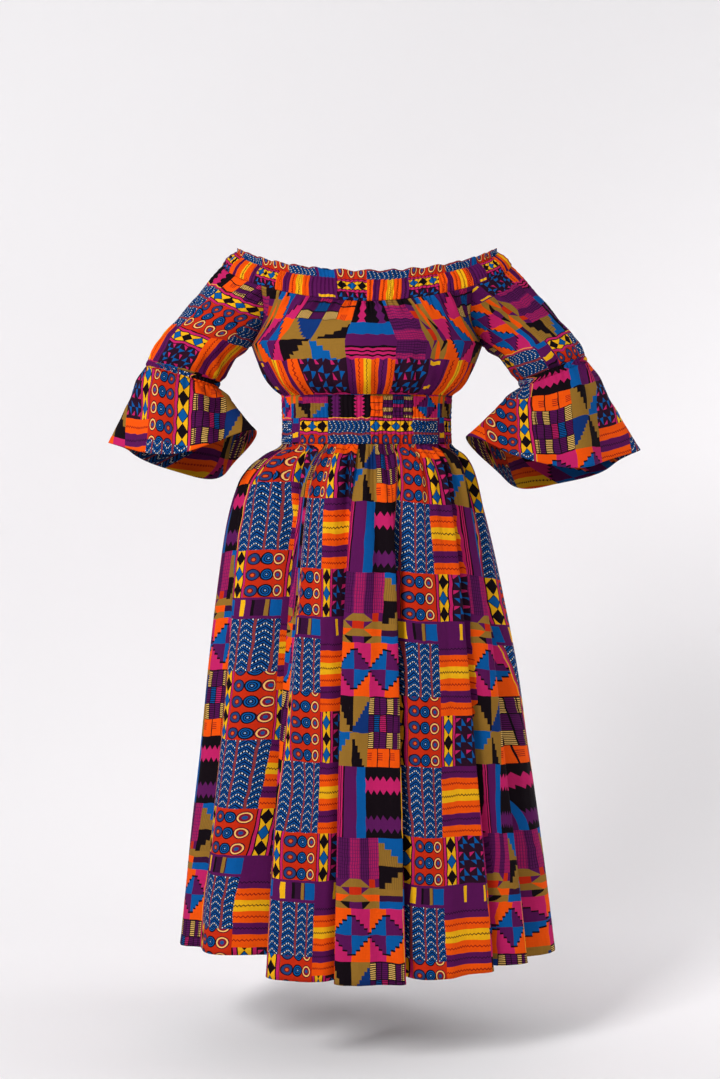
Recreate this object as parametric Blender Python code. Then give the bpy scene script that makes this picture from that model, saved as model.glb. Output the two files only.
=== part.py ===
"""Off-the-shoulder maxi dress in wax print cotton, worn shape, hollow.

Metres, +Z up. The front of the dress faces -Y and +X is on the right of a viewer in front of it.
The origin is the middle of the neck opening, level with the elastic that holds the dress up.
Each cut and sewn piece is one closed cloth wall. Angles go round the body: 0 is the middle of the
front, +90 the side at +X, 180 the middle of the back.
"""

import math

import bpy
import numpy as np

# Cloth
CLOTH = 0.0015            # thickness of a single cloth wall
SHIRRED_CLOTH = 0.0020    # thickness where elastic is sewn in
SEAM_GAP = 0.0003         # space between two pieces along a seam

# Neck band: upper edge, elastic and lower seam
NECK_HALF_WIDTH = 0.236
NECK_FRONT = 0.136
NECK_BACK = 0.122
NECK_SIDE_Z = 0.024
NECK_FRONT_DROP = 0.058
NECK_BACK_DROP = 0.034
NECK_SQUARENESS = 1.0
YOKE_HALF_WIDTH = 0.272
YOKE_FRONT = 0.164
YOKE_BACK = 0.140
YOKE_SIDE_Z = -0.010
YOKE_FRONT_DROP = 0.078
YOKE_BACK_DROP = 0.070
YOKE_SQUARENESS = 1.15
YOKE_FRONT_RISE = 0.42    # how far the cloth's normal tilts up at the yoke seam: front, back and sides
YOKE_BACK_RISE = 0.27
YOKE_SIDE_RISE = 0.95
DROP_SHAPE = 1.3
HEADER_SHARE = 0.24       # share of the band's height that stands above the elastic
HEADER_FLARE = 0.006
HEADER_LEAN = 0.6         # rise of the direction in which the band puffs out
FRONT_HEADER_WAVES = 9
SHOULDER_HEADER_WAVES = 8
COLUMNS_PER_HEADER_WAVE = 3
HEADER_WAVE_HEIGHT = 0.0026
NECK_BAND_PUFF = 0.004
NECK_BAND_LEVELS = (0.0, HEADER_SHARE, 0.60, 1.0)

# Raglan seams and underarm
RAGLAN_ANGLE = 48.0       # where the raglan seams leave the neck band, front and back
UNDERARM = (0.218, 0.004, -0.160)
RAGLAN_BOW = 0.014
EDGE_BOW_SHARE = 0.90     # how much of the bow also pushes the cloth forward, at the seams and in the middle
MIDDLE_BOW_SHARE = 0.35

# Waist
WAIST_TOP = -0.2547
WAIST_BOTTOM = -0.3453
WAIST_SHIRRING = 0.0009
WAIST_COLUMNS = 48
WAIST_ROWS = 2

# Bodice below the underarm: height, half width, depth to the front, depth to the back
BODICE_OVALS = [
    (-0.160, 0.218, 0.188, 0.148),
    (-0.190, 0.207, 0.190, 0.152),
    (-0.212, 0.197, 0.187, 0.152),
    (-0.230, 0.186, 0.178, 0.147),
    (-0.243, 0.175, 0.163, 0.139),
    (-0.251, 0.165, 0.147, 0.131),
    (-0.2547, 0.161, 0.142, 0.129),
]
BODICE_FRONT_GATHERS = 16
BODICE_BACK_GATHERS = 12
BODICE_GATHER_HEIGHT = 0.0030
GATHERS_END = 0.82        # the gathers fade out from here to the side seams
ARMHOLE_EASE = 0.85
COLUMNS_PER_GATHER = 3
RAGLAN_ROWS = 5
BODICE_LOWER_ROWS = 5

# Waistband and skirt: height, half width at -X and at +X, depth to the front and to the back
SKIRT_OVALS = [
    (-0.2547, 0.1605, 0.1600, 0.1415, 0.1285),
    (-0.3000, 0.1590, 0.1580, 0.1400, 0.1270),
    (-0.3453, 0.1605, 0.1600, 0.1415, 0.1285),
    (-0.3520, 0.1640, 0.1620, 0.1440, 0.1310),
    (-0.3650, 0.1870, 0.1770, 0.1600, 0.1520),
    (-0.3850, 0.2120, 0.1900, 0.1750, 0.1760),
    (-0.4200, 0.2390, 0.2040, 0.1890, 0.1990),
    (-0.5000, 0.2640, 0.2270, 0.2020, 0.2200),
    (-0.6000, 0.2790, 0.2500, 0.2110, 0.2350),
    (-0.7500, 0.2960, 0.2780, 0.2220, 0.2460),
    (-0.9000, 0.3110, 0.3020, 0.2330, 0.2560),
    (-1.1000, 0.3330, 0.3310, 0.2440, 0.2670),
    (-1.3050, 0.3530, 0.3570, 0.2530, 0.2760),
]
SKIRT_ROWS = (0.0, 0.010, 0.028, 0.065, 0.14, 0.30, 0.50, 0.75, 1.0)
GATHER_HEIGHT = 0.0042
GATHER_REACH = 0.030      # distance below the waist seam at which the gathers are deepest
SEAM_GATHER_SHARE = 0.12
SIDE_SEAM_SHARE = 0.03    # share of the panel's width in which the gathers fade towards each side seam
FOLD_TURN_EASE = 0.55     # how soon the cloth takes on the hem's folds, round the body and in depth
FOLD_DEPTH_EASE = 0.85
FRONT_GATHERS = 20
BACK_GATHERS = 18

# Folds of the skirt at its hem, from seam to seam: angle on the oval in degrees, how far the cloth
# lies inside it, and how far the hem is lifted there, in millimetres. An angle that runs back is
# cloth that lies behind its neighbour.
FRONT_FOLDS = [
    (-90.0, 0, 8),
    (-77.0, -7, 12),
    (-67.0, 12, 18),
    (-55.0, -3, 20),
    (-40.0, 34, 22),
    (-25.0, 84, 18),
    (-31.0, 2, 0),
    (-21.0, -8, -3),
    (-13.5, 4, -4),
    (-6.5, 27, -3),
    (-9.5, -2, -5),
    (-3.0, -9, -6),
    (4.0, -3, -6),
    (11.0, -7, -5),
    (8.0, 38, 0),
    (15.5, 13, 0),
    (23.0, -6, 0),
    (31.0, 0, 2),
    (39.5, -6, 3),
    (37.0, 34, 6),
    (45.0, 13, 7),
    (54.0, -6, 5),
    (63.0, 12, 3),
    (75.0, -6, 1),
    (90.0, 0, 0),
]
BACK_FOLDS = [
    (90.0, 0, 0),
    (102.0, -7, 2),
    (112.0, 18, 4),
    (123.0, -8, 2),
    (132.0, 34, 3),
    (141.0, -8, 0),
    (152.0, 0, 0),
    (161.0, 30, 2),
    (169.0, -10, 0),
    (180.0, 6, 0),
    (190.0, -9, 0),
    (199.0, 36, 3),
    (208.0, -7, 0),
    (219.0, 0, 0),
    (229.0, 28, 3),
    (239.0, -9, 2),
    (250.0, 16, 5),
    (260.0, -6, 8),
    (270.0, 0, 8),
]
FRONT_COLUMNS_PER_FOLD = 3
BACK_COLUMNS_PER_FOLD = 4

# Sleeve sections below the armhole, in the front view. The outer and inner points of each are x and
# z as on the sleeve at +X, then its depth radius and how far its middle lies behind the body's.
SLEEVE_LEFT = [
    ((0.340, -0.088), (0.231, -0.170), 0.068, 0.004),
    ((0.382, -0.133), (0.2545, -0.190), 0.069, 0.007),
    ((0.407, -0.171), (0.2725, -0.219), 0.070, 0.010),
    ((0.415, -0.187), (0.2790, -0.228), 0.061, 0.010),
]
SLEEVE_RIGHT = [
    ((0.344, -0.087), (0.231, -0.170), 0.068, 0.004),
    ((0.385, -0.133), (0.2570, -0.187), 0.069, 0.007),
    ((0.407, -0.165), (0.2790, -0.214), 0.070, 0.010),
    ((0.413, -0.178), (0.2880, -0.227), 0.061, 0.010),
]
SLEEVE_SECTION_AT = (0.0, 0.45, 0.70, 0.93, 1.0)
SLEEVE_ROWS = (0.0, 0.10, 0.25, 0.45, 0.63, 0.80, 0.93, 1.0)
SLEEVE_GATHERS = 9
SLEEVE_GATHER_HEIGHT = 0.0030
SLEEVE_GATHERS_AT = 0.90
SLEEVE_GATHERS_SPREAD = 0.16
SHOULDER_COLUMNS = SHOULDER_HEADER_WAVES * COLUMNS_PER_HEADER_WAVE
ELBOW_BAND_WIDTH = 0.012

# Flounce hems, from the inner end round the front: x, y and z, as on the sleeve at +X
FLOUNCE_HEM_LEFT = [
    (0.214, -0.062, -0.322),
    (0.282, -0.112, -0.343),
    (0.351, -0.136, -0.363),
    (0.433, -0.090, -0.357),
    (0.482, 0.004, -0.345),
    (0.447, 0.086, -0.368),
    (0.365, 0.128, -0.405),
    (0.272, 0.098, -0.404),
]
FLOUNCE_HEM_RIGHT = [
    (0.192, -0.068, -0.333),
    (0.270, -0.122, -0.365),
    (0.364, -0.142, -0.388),
    (0.437, -0.098, -0.379),
    (0.511, 0.000, -0.359),
    (0.463, 0.084, -0.395),
    (0.371, 0.132, -0.427),
    (0.272, 0.098, -0.421),
]
FLOUNCE_ROWS = (0.0, 0.12, 0.35, 0.67, 1.0)
FLOUNCE_COLUMNS = 36
FLOUNCE_WAVES = 6
FLOUNCE_WAVE_HEIGHT = 0.009
FLOUNCE_WAVE_PHASE = 0.6
FLOUNCE_GATHERS = 12
FLOUNCE_GATHER_HEIGHT = 0.002
FLOUNCE_GATHERS_END = 0.3
FLOUNCE_PUFF = 0.006
FLOUNCE_PUFF_ENDS = 0.5

# Plain colours that stand for the print: base colour and roughness
FINISHES = {
    "skirt": ((0.33, 0.07, 0.16), 0.75),
    "bodice": ((0.38, 0.09, 0.14), 0.75),
    "sleeve": ((0.13, 0.11, 0.33), 0.75),
    "flounce": ((0.45, 0.12, 0.06), 0.75),
    "band": ((0.20, 0.05, 0.24), 0.80),
}


def clear_scene():
    for old in list(bpy.data.objects):
        bpy.data.objects.remove(old)


def make_materials():
    """One matt cotton material for each kind of piece."""
    made = {}
    for name, (colour, roughness) in FINISHES.items():
        material = bpy.data.materials.new(name)
        material.use_nodes = True
        shader = material.node_tree.nodes["Principled BSDF"]
        shader.inputs["Base Color"].default_value = (*colour, 1.0)
        shader.inputs["Roughness"].default_value = roughness
        shader.inputs["Metallic"].default_value = 0.0
        made[name] = material
    return made


def unit(vectors):
    return vectors / np.maximum(np.linalg.norm(vectors, axis=-1, keepdims=True), 1e-12)


def smooth(share):
    share = np.clip(share, 0.0, 1.0)
    return share * share * (3 - 2 * share)


def through(places, values, at, closed_over=None):
    """A curve through values given at places, read at each of at: cubic, with the slopes of its chords.

    closed_over is the period of a curve that closes on itself."""
    places = np.asarray(places, float)
    values = np.asarray(values, float)
    at = np.atleast_1d(np.asarray(at, float))
    if closed_over:
        places = np.concatenate([places[-1:] - closed_over, places, places[:2] + closed_over])
        values = np.concatenate([values[-1:], values, values[:2]])
    steps = np.diff(places)
    chords = np.diff(values, axis=0) / steps.reshape(-1, *[1] * (values.ndim - 1))
    slopes = np.empty_like(values)
    slopes[1:-1] = (chords[1:] + chords[:-1]) / 2
    slopes[0], slopes[-1] = chords[0], chords[-1]
    i = np.clip(np.searchsorted(places, at, side="right") - 1, 0, len(steps) - 1)
    step = steps[i].reshape(-1, *[1] * (values.ndim - 1))
    share = ((at - places[i]) / steps[i]).reshape(step.shape)
    from_a = values[i] * (1 + 2 * share) * (1 - share) ** 2 + slopes[i] * step * share * (1 - share) ** 2
    from_b = values[i + 1] * share**2 * (3 - 2 * share) + slopes[i + 1] * step * share**2 * (share - 1)
    return from_a + from_b


def between(places, values, at):
    """The same through a table of sections, with slopes held down so that it never overshoots them."""
    places, values = np.asarray(places, float), np.asarray(values, float)
    steps = np.diff(places)
    chords = np.diff(values) / steps
    slopes = np.zeros_like(values)
    same_way = chords[1:] * chords[:-1] > 0
    total = chords[1:] + chords[:-1]
    slopes[1:-1] = np.where(same_way, 2 * chords[1:] * chords[:-1] / np.where(same_way, total, 1.0), 0.0)
    slopes[0], slopes[-1] = chords[0], chords[-1]
    i = np.clip(np.searchsorted(places, at, side="right") - 1, 0, len(steps) - 1)
    share = (at - places[i]) / steps[i]
    from_a = values[i] * (1 + 2 * share) * (1 - share) ** 2 + slopes[i] * steps[i] * share * (1 - share) ** 2
    from_b = values[i + 1] * share**2 * (3 - 2 * share) + slopes[i + 1] * steps[i] * share**2 * (share - 1)
    return from_a + from_b


def neck_ring(angle, half_width, front, back, side_z, front_drop, back_drop, squareness):
    """A ring round both shoulders that dips at the middle of the front and of the back."""
    s, c = np.sin(angle), np.cos(angle)
    x = half_width * np.sign(s) * np.abs(s) ** squareness
    y = -np.where(c > 0, front, back) * c
    z = side_z - np.where(c > 0, front_drop, back_drop) * np.abs(c) ** DROP_SHAPE
    return np.stack([x, y, z], axis=-1)


def neck_edge(angle):
    return neck_ring(
        angle, NECK_HALF_WIDTH, NECK_FRONT, NECK_BACK,
        NECK_SIDE_Z, NECK_FRONT_DROP, NECK_BACK_DROP, NECK_SQUARENESS,
    )


def yoke_seam(angle):
    """The seam under the neck band, where the bodice and the sleeves begin."""
    return neck_ring(
        angle, YOKE_HALF_WIDTH, YOKE_FRONT, YOKE_BACK,
        YOKE_SIDE_Z, YOKE_FRONT_DROP, YOKE_BACK_DROP, YOKE_SQUARENESS,
    )


def yoke_normals(angle):
    """Normals along the yoke seam, shared by the band above it and the pieces below it."""
    s, c = np.sin(angle), np.cos(angle)
    depth = np.where(c > 0, YOKE_FRONT, YOKE_BACK)
    level = unit(np.stack([s / YOKE_HALF_WIDTH, -c / depth, 0 * s], axis=-1))
    rise = YOKE_SIDE_RISE + (np.where(c > 0, YOKE_FRONT_RISE, YOKE_BACK_RISE) - YOKE_SIDE_RISE) * np.abs(c)
    level[..., 2] = rise
    return unit(level)


def oval(angle, left, right, front, back, z):
    """A point of a body section whose two sides may reach out by different amounts."""
    s, c = np.sin(angle), np.cos(angle)
    x = (left + right) / 2 * s + (right - left) / 2 * s * s
    y = -np.where(c > 0, front, back) * c
    return np.stack([x, y, z + 0 * s], axis=-1)


def outward(angle):
    return np.stack([np.sin(angle), -np.cos(angle), 0 * angle], axis=-1)


def grid_normals(mid, closed):
    """Unit normals out of the garment. Rows of the grid run down it, columns anticlockwise from above."""
    if closed:
        along = np.roll(mid, -1, axis=1) - np.roll(mid, 1, axis=1)
    else:
        along = np.gradient(mid, axis=1)
    down = np.gradient(mid, axis=0)
    return unit(np.cross(along, -down))


def pulled_in(mid, closed, top=True, bottom=True):
    """The grid with its seam edges drawn back by half the seam gap, also at its two sides if it is open."""
    mid = mid.copy()
    half = SEAM_GAP / 2
    if top:
        mid[0] += unit(mid[1] - mid[0]) * half
    if bottom:
        mid[-1] += unit(mid[-2] - mid[-1]) * half
    if not closed:
        mid[:, 0] += unit(mid[:, 1] - mid[:, 0]) * half
        mid[:, -1] += unit(mid[:, -2] - mid[:, -1]) * half
    return mid


def two_triangles(points, face):
    """The halves of a four-sided face, parted along its shorter diagonal, so that walls at a seam agree."""
    a, b, c, d = face
    if np.linalg.norm(points[a] - points[c]) <= np.linalg.norm(points[b] - points[d]):
        return [(a, b, c), (a, c, d)]
    return [(b, c, d), (b, d, a)]


def cloth_wall(name, mid, normals, material, thickness=CLOTH, closed=False, turned=False):
    """One closed wall of cloth, half its thickness to each side of a grid of points."""
    if turned:
        mid, normals = mid[:, ::-1], normals[:, ::-1]
    rows, columns = mid.shape[:2]
    outer = mid + normals * thickness / 2
    inner = mid - normals * thickness / 2
    points = np.concatenate([outer.reshape(-1, 3), inner.reshape(-1, 3)])
    inside = rows * columns
    last = columns if closed else columns - 1
    faces = []
    for r in range(rows - 1):
        for k in range(last):
            a, b = r * columns + k, r * columns + (k + 1) % columns
            c, d = b + columns, a + columns
            faces.append((a, d, c, b))
            faces.append((inside + a, inside + b, inside + c, inside + d))
    for k in range(last):
        a, b = k, (k + 1) % columns
        faces.append((a, b, inside + b, inside + a))
        a, b = (rows - 1) * columns + a, (rows - 1) * columns + b
        faces.append((b, a, inside + a, inside + b))
    if not closed:
        for r in range(rows - 1):
            a, d = r * columns, (r + 1) * columns
            faces.append((d, a, inside + a, inside + d))
            b, c = a + columns - 1, d + columns - 1
            faces.append((b, c, inside + c, inside + b))
    mesh = bpy.data.meshes.new(name)
    triangles = [half for face in faces for half in two_triangles(points, face)]
    mesh.from_pydata(points.tolist(), [], triangles)
    mesh.update()
    mesh.shade_smooth()
    mesh.materials.append(material)
    made = bpy.data.objects.new(name, mesh)
    bpy.data.collections["dress"].objects.link(made)
    return made


def neck_band_surface(angle, phase, down):
    """The shirred band. down is 0 at the header's edge, HEADER_SHARE at the elastic, 1 at the lower seam."""
    top, bottom = neck_edge(angle), yoke_seam(angle)
    out = unit(outward(angle) + np.array([0, 0, HEADER_LEAN]))
    below = max(0.0, (down - HEADER_SHARE) / (1 - HEADER_SHARE))
    above = max(0.0, 1 - down / HEADER_SHARE)
    waves = -np.cos(phase)[:, None]
    push = NECK_BAND_PUFF * math.sin(math.pi * below) + HEADER_FLARE * above
    return top + (bottom - top) * down + out * (push + waves * HEADER_WAVE_HEIGHT * above)


def build_neck_bands(material):
    """The band in four pieces, parted by the raglan seams."""
    turn = math.radians(RAGLAN_ANGLE)
    spans = {
        "neck_band_front": (-turn, turn, FRONT_HEADER_WAVES),
        "neck_band_right": (turn, math.pi - turn, SHOULDER_HEADER_WAVES),
        "neck_band_back": (math.pi - turn, math.pi + turn, FRONT_HEADER_WAVES),
        "neck_band_left": (math.pi + turn, 2 * math.pi - turn, SHOULDER_HEADER_WAVES),
    }
    for name, (start, end, waves) in spans.items():
        columns = waves * COLUMNS_PER_HEADER_WAVE
        place = np.arange(-1, columns + 2) / columns
        angle = start + (end - start) * place
        phase = 2 * math.pi * waves * place
        mid = np.stack([neck_band_surface(angle, phase, level) for level in NECK_BAND_LEVELS])
        normals = grid_normals(mid, False)[:, 1:-1]
        normals[-1] = yoke_normals(angle[1:-1])
        mid = pulled_in(mid[:, 1:-1], False, top=False)
        cloth_wall(name, mid, normals, material, SHIRRED_CLOTH)


def bodice_row(side, across, row, gathers):
    """A row of a bodice panel. Rows 0 to RAGLAN_ROWS run down the raglan seams, the rest down the sides."""
    heights = [z for z, *_ in BODICE_OVALS]
    front = side == "front"
    middle = 0.0 if front else math.pi
    if row <= RAGLAN_ROWS:
        share = row / RAGLAN_ROWS
        z = heights[0]
    else:
        share = 1.0
        down = closer_at_end((row - RAGLAN_ROWS) / BODICE_LOWER_ROWS)
        z = heights[0] + (heights[-1] - heights[0]) * down
    half_width, to_front, to_back = (
        between([-h for h in heights], [o[k] for o in BODICE_OVALS], -z) for k in (1, 2, 3)
    )
    low = oval(middle + across * math.pi / 2, half_width, half_width, to_front, to_back, z)
    low[:, 1] += UNDERARM[1] * np.abs(across) ** 3 * share
    high = yoke_seam(middle + across * math.radians(RAGLAN_ANGLE))
    drawn = share**ARMHOLE_EASE
    mid = high + (low - high) * drawn
    bow = math.sin(math.pi * share) * RAGLAN_BOW
    edge = np.abs(across) ** 3
    mid[:, 0] -= np.sign(mid[:, 0]) * bow * edge
    mid[:, 1] += (-bow if front else bow) * (EDGE_BOW_SHARE * edge + MIDDLE_BOW_SHARE * (1 - edge))
    out = outward(middle + across * math.pi / 2)
    below = (row - RAGLAN_ROWS) / BODICE_LOWER_ROWS
    height = BODICE_GATHER_HEIGHT * max(gathers_above_waist(below), gathers_under_yoke(share))
    fade = 1 - smooth((np.abs(across) - GATHERS_END) / (1 - GATHERS_END))
    waves = np.cos(math.pi * gathers * (across + 1)) * fade
    return mid + out * (waves * height)[:, None]


def gathers_above_waist(below):
    """How strong the gathers are below the underarm: they rise to the waistband and close up at its seam."""
    closing = smooth((below - 0.7) / 0.3)
    return smooth(below * 1.6) * (1 - 0.7 * closing)


def gathers_under_yoke(share):
    """The same for the softer gathers just under the neck band."""
    if share == 0:
        return 0.10
    return 0.7 * math.exp(-(((share - 0.12) / 0.16) ** 2))


def closer_at_end(share):
    """Rows drawn closer together towards the waist, where the bodice blouses over the band."""
    return 1 - (1 - share) ** 1.5


def bodice_panel(side):
    """The grid of a bodice panel, with columns running anticlockwise seen from above."""
    gathers = BODICE_FRONT_GATHERS if side == "front" else BODICE_BACK_GATHERS
    across = np.linspace(-1, 1, gathers * COLUMNS_PER_GATHER + 1)
    rows = range(RAGLAN_ROWS + BODICE_LOWER_ROWS + 1)
    return np.stack([bodice_row(side, across, row, gathers) for row in rows])


def sleeve_side(sections, sign):
    """The sleeve's sections as centre, outward half axis and forward half axis, in the row frame."""
    made = []
    for (x_out, z_out), (x_in, z_in), depth, behind in sections:
        outer = np.array([sign * x_out, behind, z_out])
        inner = np.array([sign * x_in, behind, z_in])
        made.append(((outer + inner) / 2, (outer - inner) / 2, np.array([0.0, -depth, 0.0])))
    return made


def section_ring(section, turn):
    """Points round a sleeve section. turn is 0 at the inner end, a quarter in front and a half outside."""
    centre, half_out, half_forward = section
    at = 2 * math.pi * turn
    return centre + half_out * -np.cos(at)[:, None] + half_forward * np.sin(at)[:, None]


def armhole_loop(sign, front_panel, back_panel):
    """The sleeve's upper edge: up the front raglan seam, over the shoulder and down the back one."""
    front_edge = front_panel[RAGLAN_ROWS::-1, -1 if sign > 0 else 0]
    back_edge = back_panel[: RAGLAN_ROWS + 1, 0 if sign > 0 else -1]
    start, end = math.radians(RAGLAN_ANGLE), math.pi - math.radians(RAGLAN_ANGLE)
    over = sign * np.linspace(start, end, SHOULDER_COLUMNS + 1)
    return np.concatenate([front_edge, yoke_seam(over)[1:-1], back_edge[:-1]]), over


def sleeve_grid(sign, sections, loop):
    """The sleeve from its armhole to the elbow. Columns start at the underarm and run round the front."""
    top = RAGLAN_ROWS + SHOULDER_COLUMNS // 2
    steps = np.linalg.norm(np.diff(np.concatenate([loop, loop[:1]]), axis=0), axis=1)
    along = np.concatenate([[0], np.cumsum(steps)])
    front = along[: top + 1] / along[top]
    back = (along[top + 1 : -1] - along[top]) / (along[-1] - along[top])
    turn = np.concatenate([0.5 * front, 0.5 + 0.5 * back])
    rings = [loop] + [section_ring(s, turn) for s in sleeve_side(sections, sign)]
    grid = through(SLEEVE_SECTION_AT, np.stack(rings), SLEEVE_ROWS)
    middle = through(SLEEVE_SECTION_AT, np.stack([ring.mean(axis=0) for ring in rings]), SLEEVE_ROWS)
    out = unit(grid - middle[:, None])
    rows = np.array(SLEEVE_ROWS)
    height = SLEEVE_GATHER_HEIGHT * np.exp(-(((rows - SLEEVE_GATHERS_AT) / SLEEVE_GATHERS_SPREAD) ** 2))
    height[[0, -1]] = 0
    waves = np.cos(2 * math.pi * SLEEVE_GATHERS * turn)
    return grid + out * (height[:, None] * waves)[..., None], turn


def elbow_edge(sign, sections, turn, down=0.0):
    """A ring of the elbow's elastic casing, some way down it, and the normals on that ring."""
    centre, half_out, half_forward = sleeve_side(sections, sign)[-1]
    axis = unit(np.cross(half_out, half_forward)) * sign
    ring = section_ring((centre + axis * down, half_out, half_forward), turn)
    flatter = (half_out / half_out.dot(half_out), half_forward / half_forward.dot(half_forward))
    return ring, unit(section_ring((np.zeros(3), *flatter), turn))


def flounce_grid(sign, sections, hem_points):
    """The flounce from the casing to its hem, with columns as on the sleeve."""
    turn = np.arange(FLOUNCE_COLUMNS) / FLOUNCE_COLUMNS
    top, top_normals = elbow_edge(sign, sections, turn, ELBOW_BAND_WIDTH)
    places = np.arange(len(hem_points)) / len(hem_points)
    hem = through(places, np.array(hem_points) * [sign, 1, 1], turn, closed_over=1.0)
    out = unit(hem - hem.mean(axis=0))
    rows = []
    for t in FLOUNCE_ROWS:
        puff = FLOUNCE_PUFF * math.sin(math.pi * min(1.0, t / FLOUNCE_PUFF_ENDS)) ** 2
        waves = FLOUNCE_WAVE_HEIGHT * t * np.cos(2 * math.pi * FLOUNCE_WAVES * turn + FLOUNCE_WAVE_PHASE)
        closing = math.sin(math.pi * min(1.0, t / FLOUNCE_GATHERS_END))
        gathers = FLOUNCE_GATHER_HEIGHT * closing * np.cos(2 * math.pi * FLOUNCE_GATHERS * turn)
        rows.append(top + (hem - top) * t + out * (puff + waves + gathers)[:, None])
    mid = np.stack(rows)
    normals = grid_normals(mid, True) * sign
    normals[0] = top_normals
    return mid, normals


def skirt_fold_curves(folds, per_fold):
    """Angle, inward depth and hem lift for each column, and each column's share of the cloth's width."""
    knots = np.arange(len(folds))
    at = np.linspace(0, len(folds) - 1, (len(folds) - 1) * per_fold + 1)
    angle = np.radians(through(knots, [f[0] for f in folds], at))
    inward = through(knots, [f[1] / 1000 for f in folds], at)
    lift = through(knots, [f[2] / 1000 for f in folds], at)
    hem = hem_points(angle, inward, lift)
    along = np.concatenate([[0], np.cumsum(np.linalg.norm(np.diff(hem, axis=0), axis=1))])
    return angle, inward, lift, along / along[-1]


def skirt_oval(angle, z):
    heights = [-o[0] for o in SKIRT_OVALS]
    left, right, front, back = (between(heights, [o[k] for o in SKIRT_OVALS], -z) for k in (1, 2, 3, 4))
    return oval(angle, left, right, front, back, z)


def hem_points(angle, inward, lift):
    bottom = SKIRT_OVALS[-1][0]
    points = skirt_oval(angle, bottom) - outward(angle) * inward[:, None]
    points[:, 2] += lift
    return points


def skirt_panel(folds, per_fold, gathers):
    """The grid of a skirt panel: even gathers at the waist that fall into the folds of the hem."""
    hem_angle, inward, lift, share = skirt_fold_curves(folds, per_fold)
    waist_angle = hem_angle[0] + (hem_angle[-1] - hem_angle[0]) * share
    top, bottom = WAIST_BOTTOM, SKIRT_OVALS[-1][0]
    rows = []
    for t in SKIRT_ROWS:
        z = top + (bottom - top) * t
        angle = waist_angle + (hem_angle - waist_angle) * t**FOLD_TURN_EASE
        mid = skirt_oval(angle, z)
        mid[:, 2] += lift * t
        depth = inward * t**FOLD_DEPTH_EASE
        below = (top - z) / GATHER_REACH
        gather = GATHER_HEIGHT * (SEAM_GATHER_SHARE + below * math.exp(1 - below))
        fade = smooth(np.minimum(share, 1 - share) / SIDE_SEAM_SHARE)
        waves = np.cos(2 * math.pi * gathers * share) * gather * fade
        rows.append(mid + outward(angle) * (waves - depth)[:, None])
    return np.stack(rows)


def build_waist_and_skirt(materials):
    """The elasticated waistband and the gathered skirt, each in a front and a back panel."""
    halves = {"front": (-math.pi / 2, math.pi / 2), "back": (math.pi / 2, 3 * math.pi / 2)}
    for side, (start, end) in halves.items():
        angle = np.linspace(start, end, WAIST_COLUMNS + 1)
        levels = np.linspace(WAIST_TOP, WAIST_BOTTOM, WAIST_ROWS + 1)
        ripple = WAIST_SHIRRING * np.cos(np.arange(WAIST_COLUMNS + 1) * math.pi)
        ripple[[0, -1]] = 0
        mid = np.stack([skirt_oval(angle, z) + outward(angle) * ripple[:, None] for z in levels])
        normals = np.stack([level_normals(angle)] * len(levels))
        cloth_wall(f"waistband_{side}", pulled_in(mid, False), normals, materials["band"], SHIRRED_CLOTH)

    panels = {
        "front": (FRONT_FOLDS, FRONT_COLUMNS_PER_FOLD, FRONT_GATHERS),
        "back": (BACK_FOLDS, BACK_COLUMNS_PER_FOLD, BACK_GATHERS),
    }
    for side, settings in panels.items():
        mid = skirt_panel(*settings)
        normals = grid_normals(mid, False)
        sides = np.array([1.0, 0, 0])
        normals[:, 0] = -sides if side == "front" else sides
        normals[:, -1] = sides if side == "front" else -sides
        angle = np.arctan2(mid[0, :, 0], -mid[0, :, 1])
        normals[0] = level_normals(angle)
        cloth_wall(f"skirt_{side}", pulled_in(mid, False, bottom=False), normals, materials["skirt"])


def level_normals(angle):
    """Horizontal normals of the waist oval, shared by the pieces that meet at its seams."""
    half_width, depth = SKIRT_OVALS[0][1], SKIRT_OVALS[0][3]
    return unit(np.stack([np.sin(angle) / half_width, -np.cos(angle) / depth, 0 * angle], axis=-1))


def match_raglan(panels, sleeve, sign):
    """Give a sleeve and the two bodice panels the same normals along the seams where they meet."""
    columns = {"front": -1 if sign > 0 else 0, "back": 0 if sign > 0 else -1}
    for side, column in columns.items():
        for row in range(1, RAGLAN_ROWS):
            place = RAGLAN_ROWS - row if side == "front" else row - RAGLAN_ROWS
            shared = unit(panels[side][row, column] + sleeve[0, place])
            panels[side][row, column] = sleeve[0, place] = shared
    below = slice(RAGLAN_ROWS, -1)
    shared = unit(panels["front"][below, columns["front"]] + panels["back"][below, columns["back"]])
    shared[0] = sleeve[0, 0] = unit(shared[0] + sleeve[0, 0])
    for side, column in columns.items():
        panels[side][below, column] = shared


def build_sleeve(side, sign, sections, hem_points, panels, panel_normals, materials):
    """A sleeve, its elastic casing and its flounce."""
    loop, over = armhole_loop(sign, panels["front"], panels["back"])
    mid, turn = sleeve_grid(sign, sections, loop)
    normals = grid_normals(mid, True) * sign
    normals[0, RAGLAN_ROWS : RAGLAN_ROWS + SHOULDER_COLUMNS + 1] = yoke_normals(over)
    match_raglan(panel_normals, normals, sign)
    rings = [elbow_edge(sign, sections, turn, down) for down in (0.0, ELBOW_BAND_WIDTH)]
    normals[-1] = rings[0][1]
    band, band_normals = (np.stack(rows) for rows in zip(*rings))
    flounce, flounce_normals = flounce_grid(sign, sections, hem_points)
    for name, grid, facing, material, thickness, has_hem in (
        ("sleeve", mid, normals, "sleeve", CLOTH, False),
        ("elbow_band", band, band_normals, "band", SHIRRED_CLOTH, False),
        ("flounce", flounce, flounce_normals, "flounce", CLOTH, True),
    ):
        grid = pulled_in(grid, True, bottom=not has_hem)
        cloth_wall(
            f"{name}_{side}", grid, facing, materials[material], thickness, closed=True, turned=sign < 0,
        )


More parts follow.
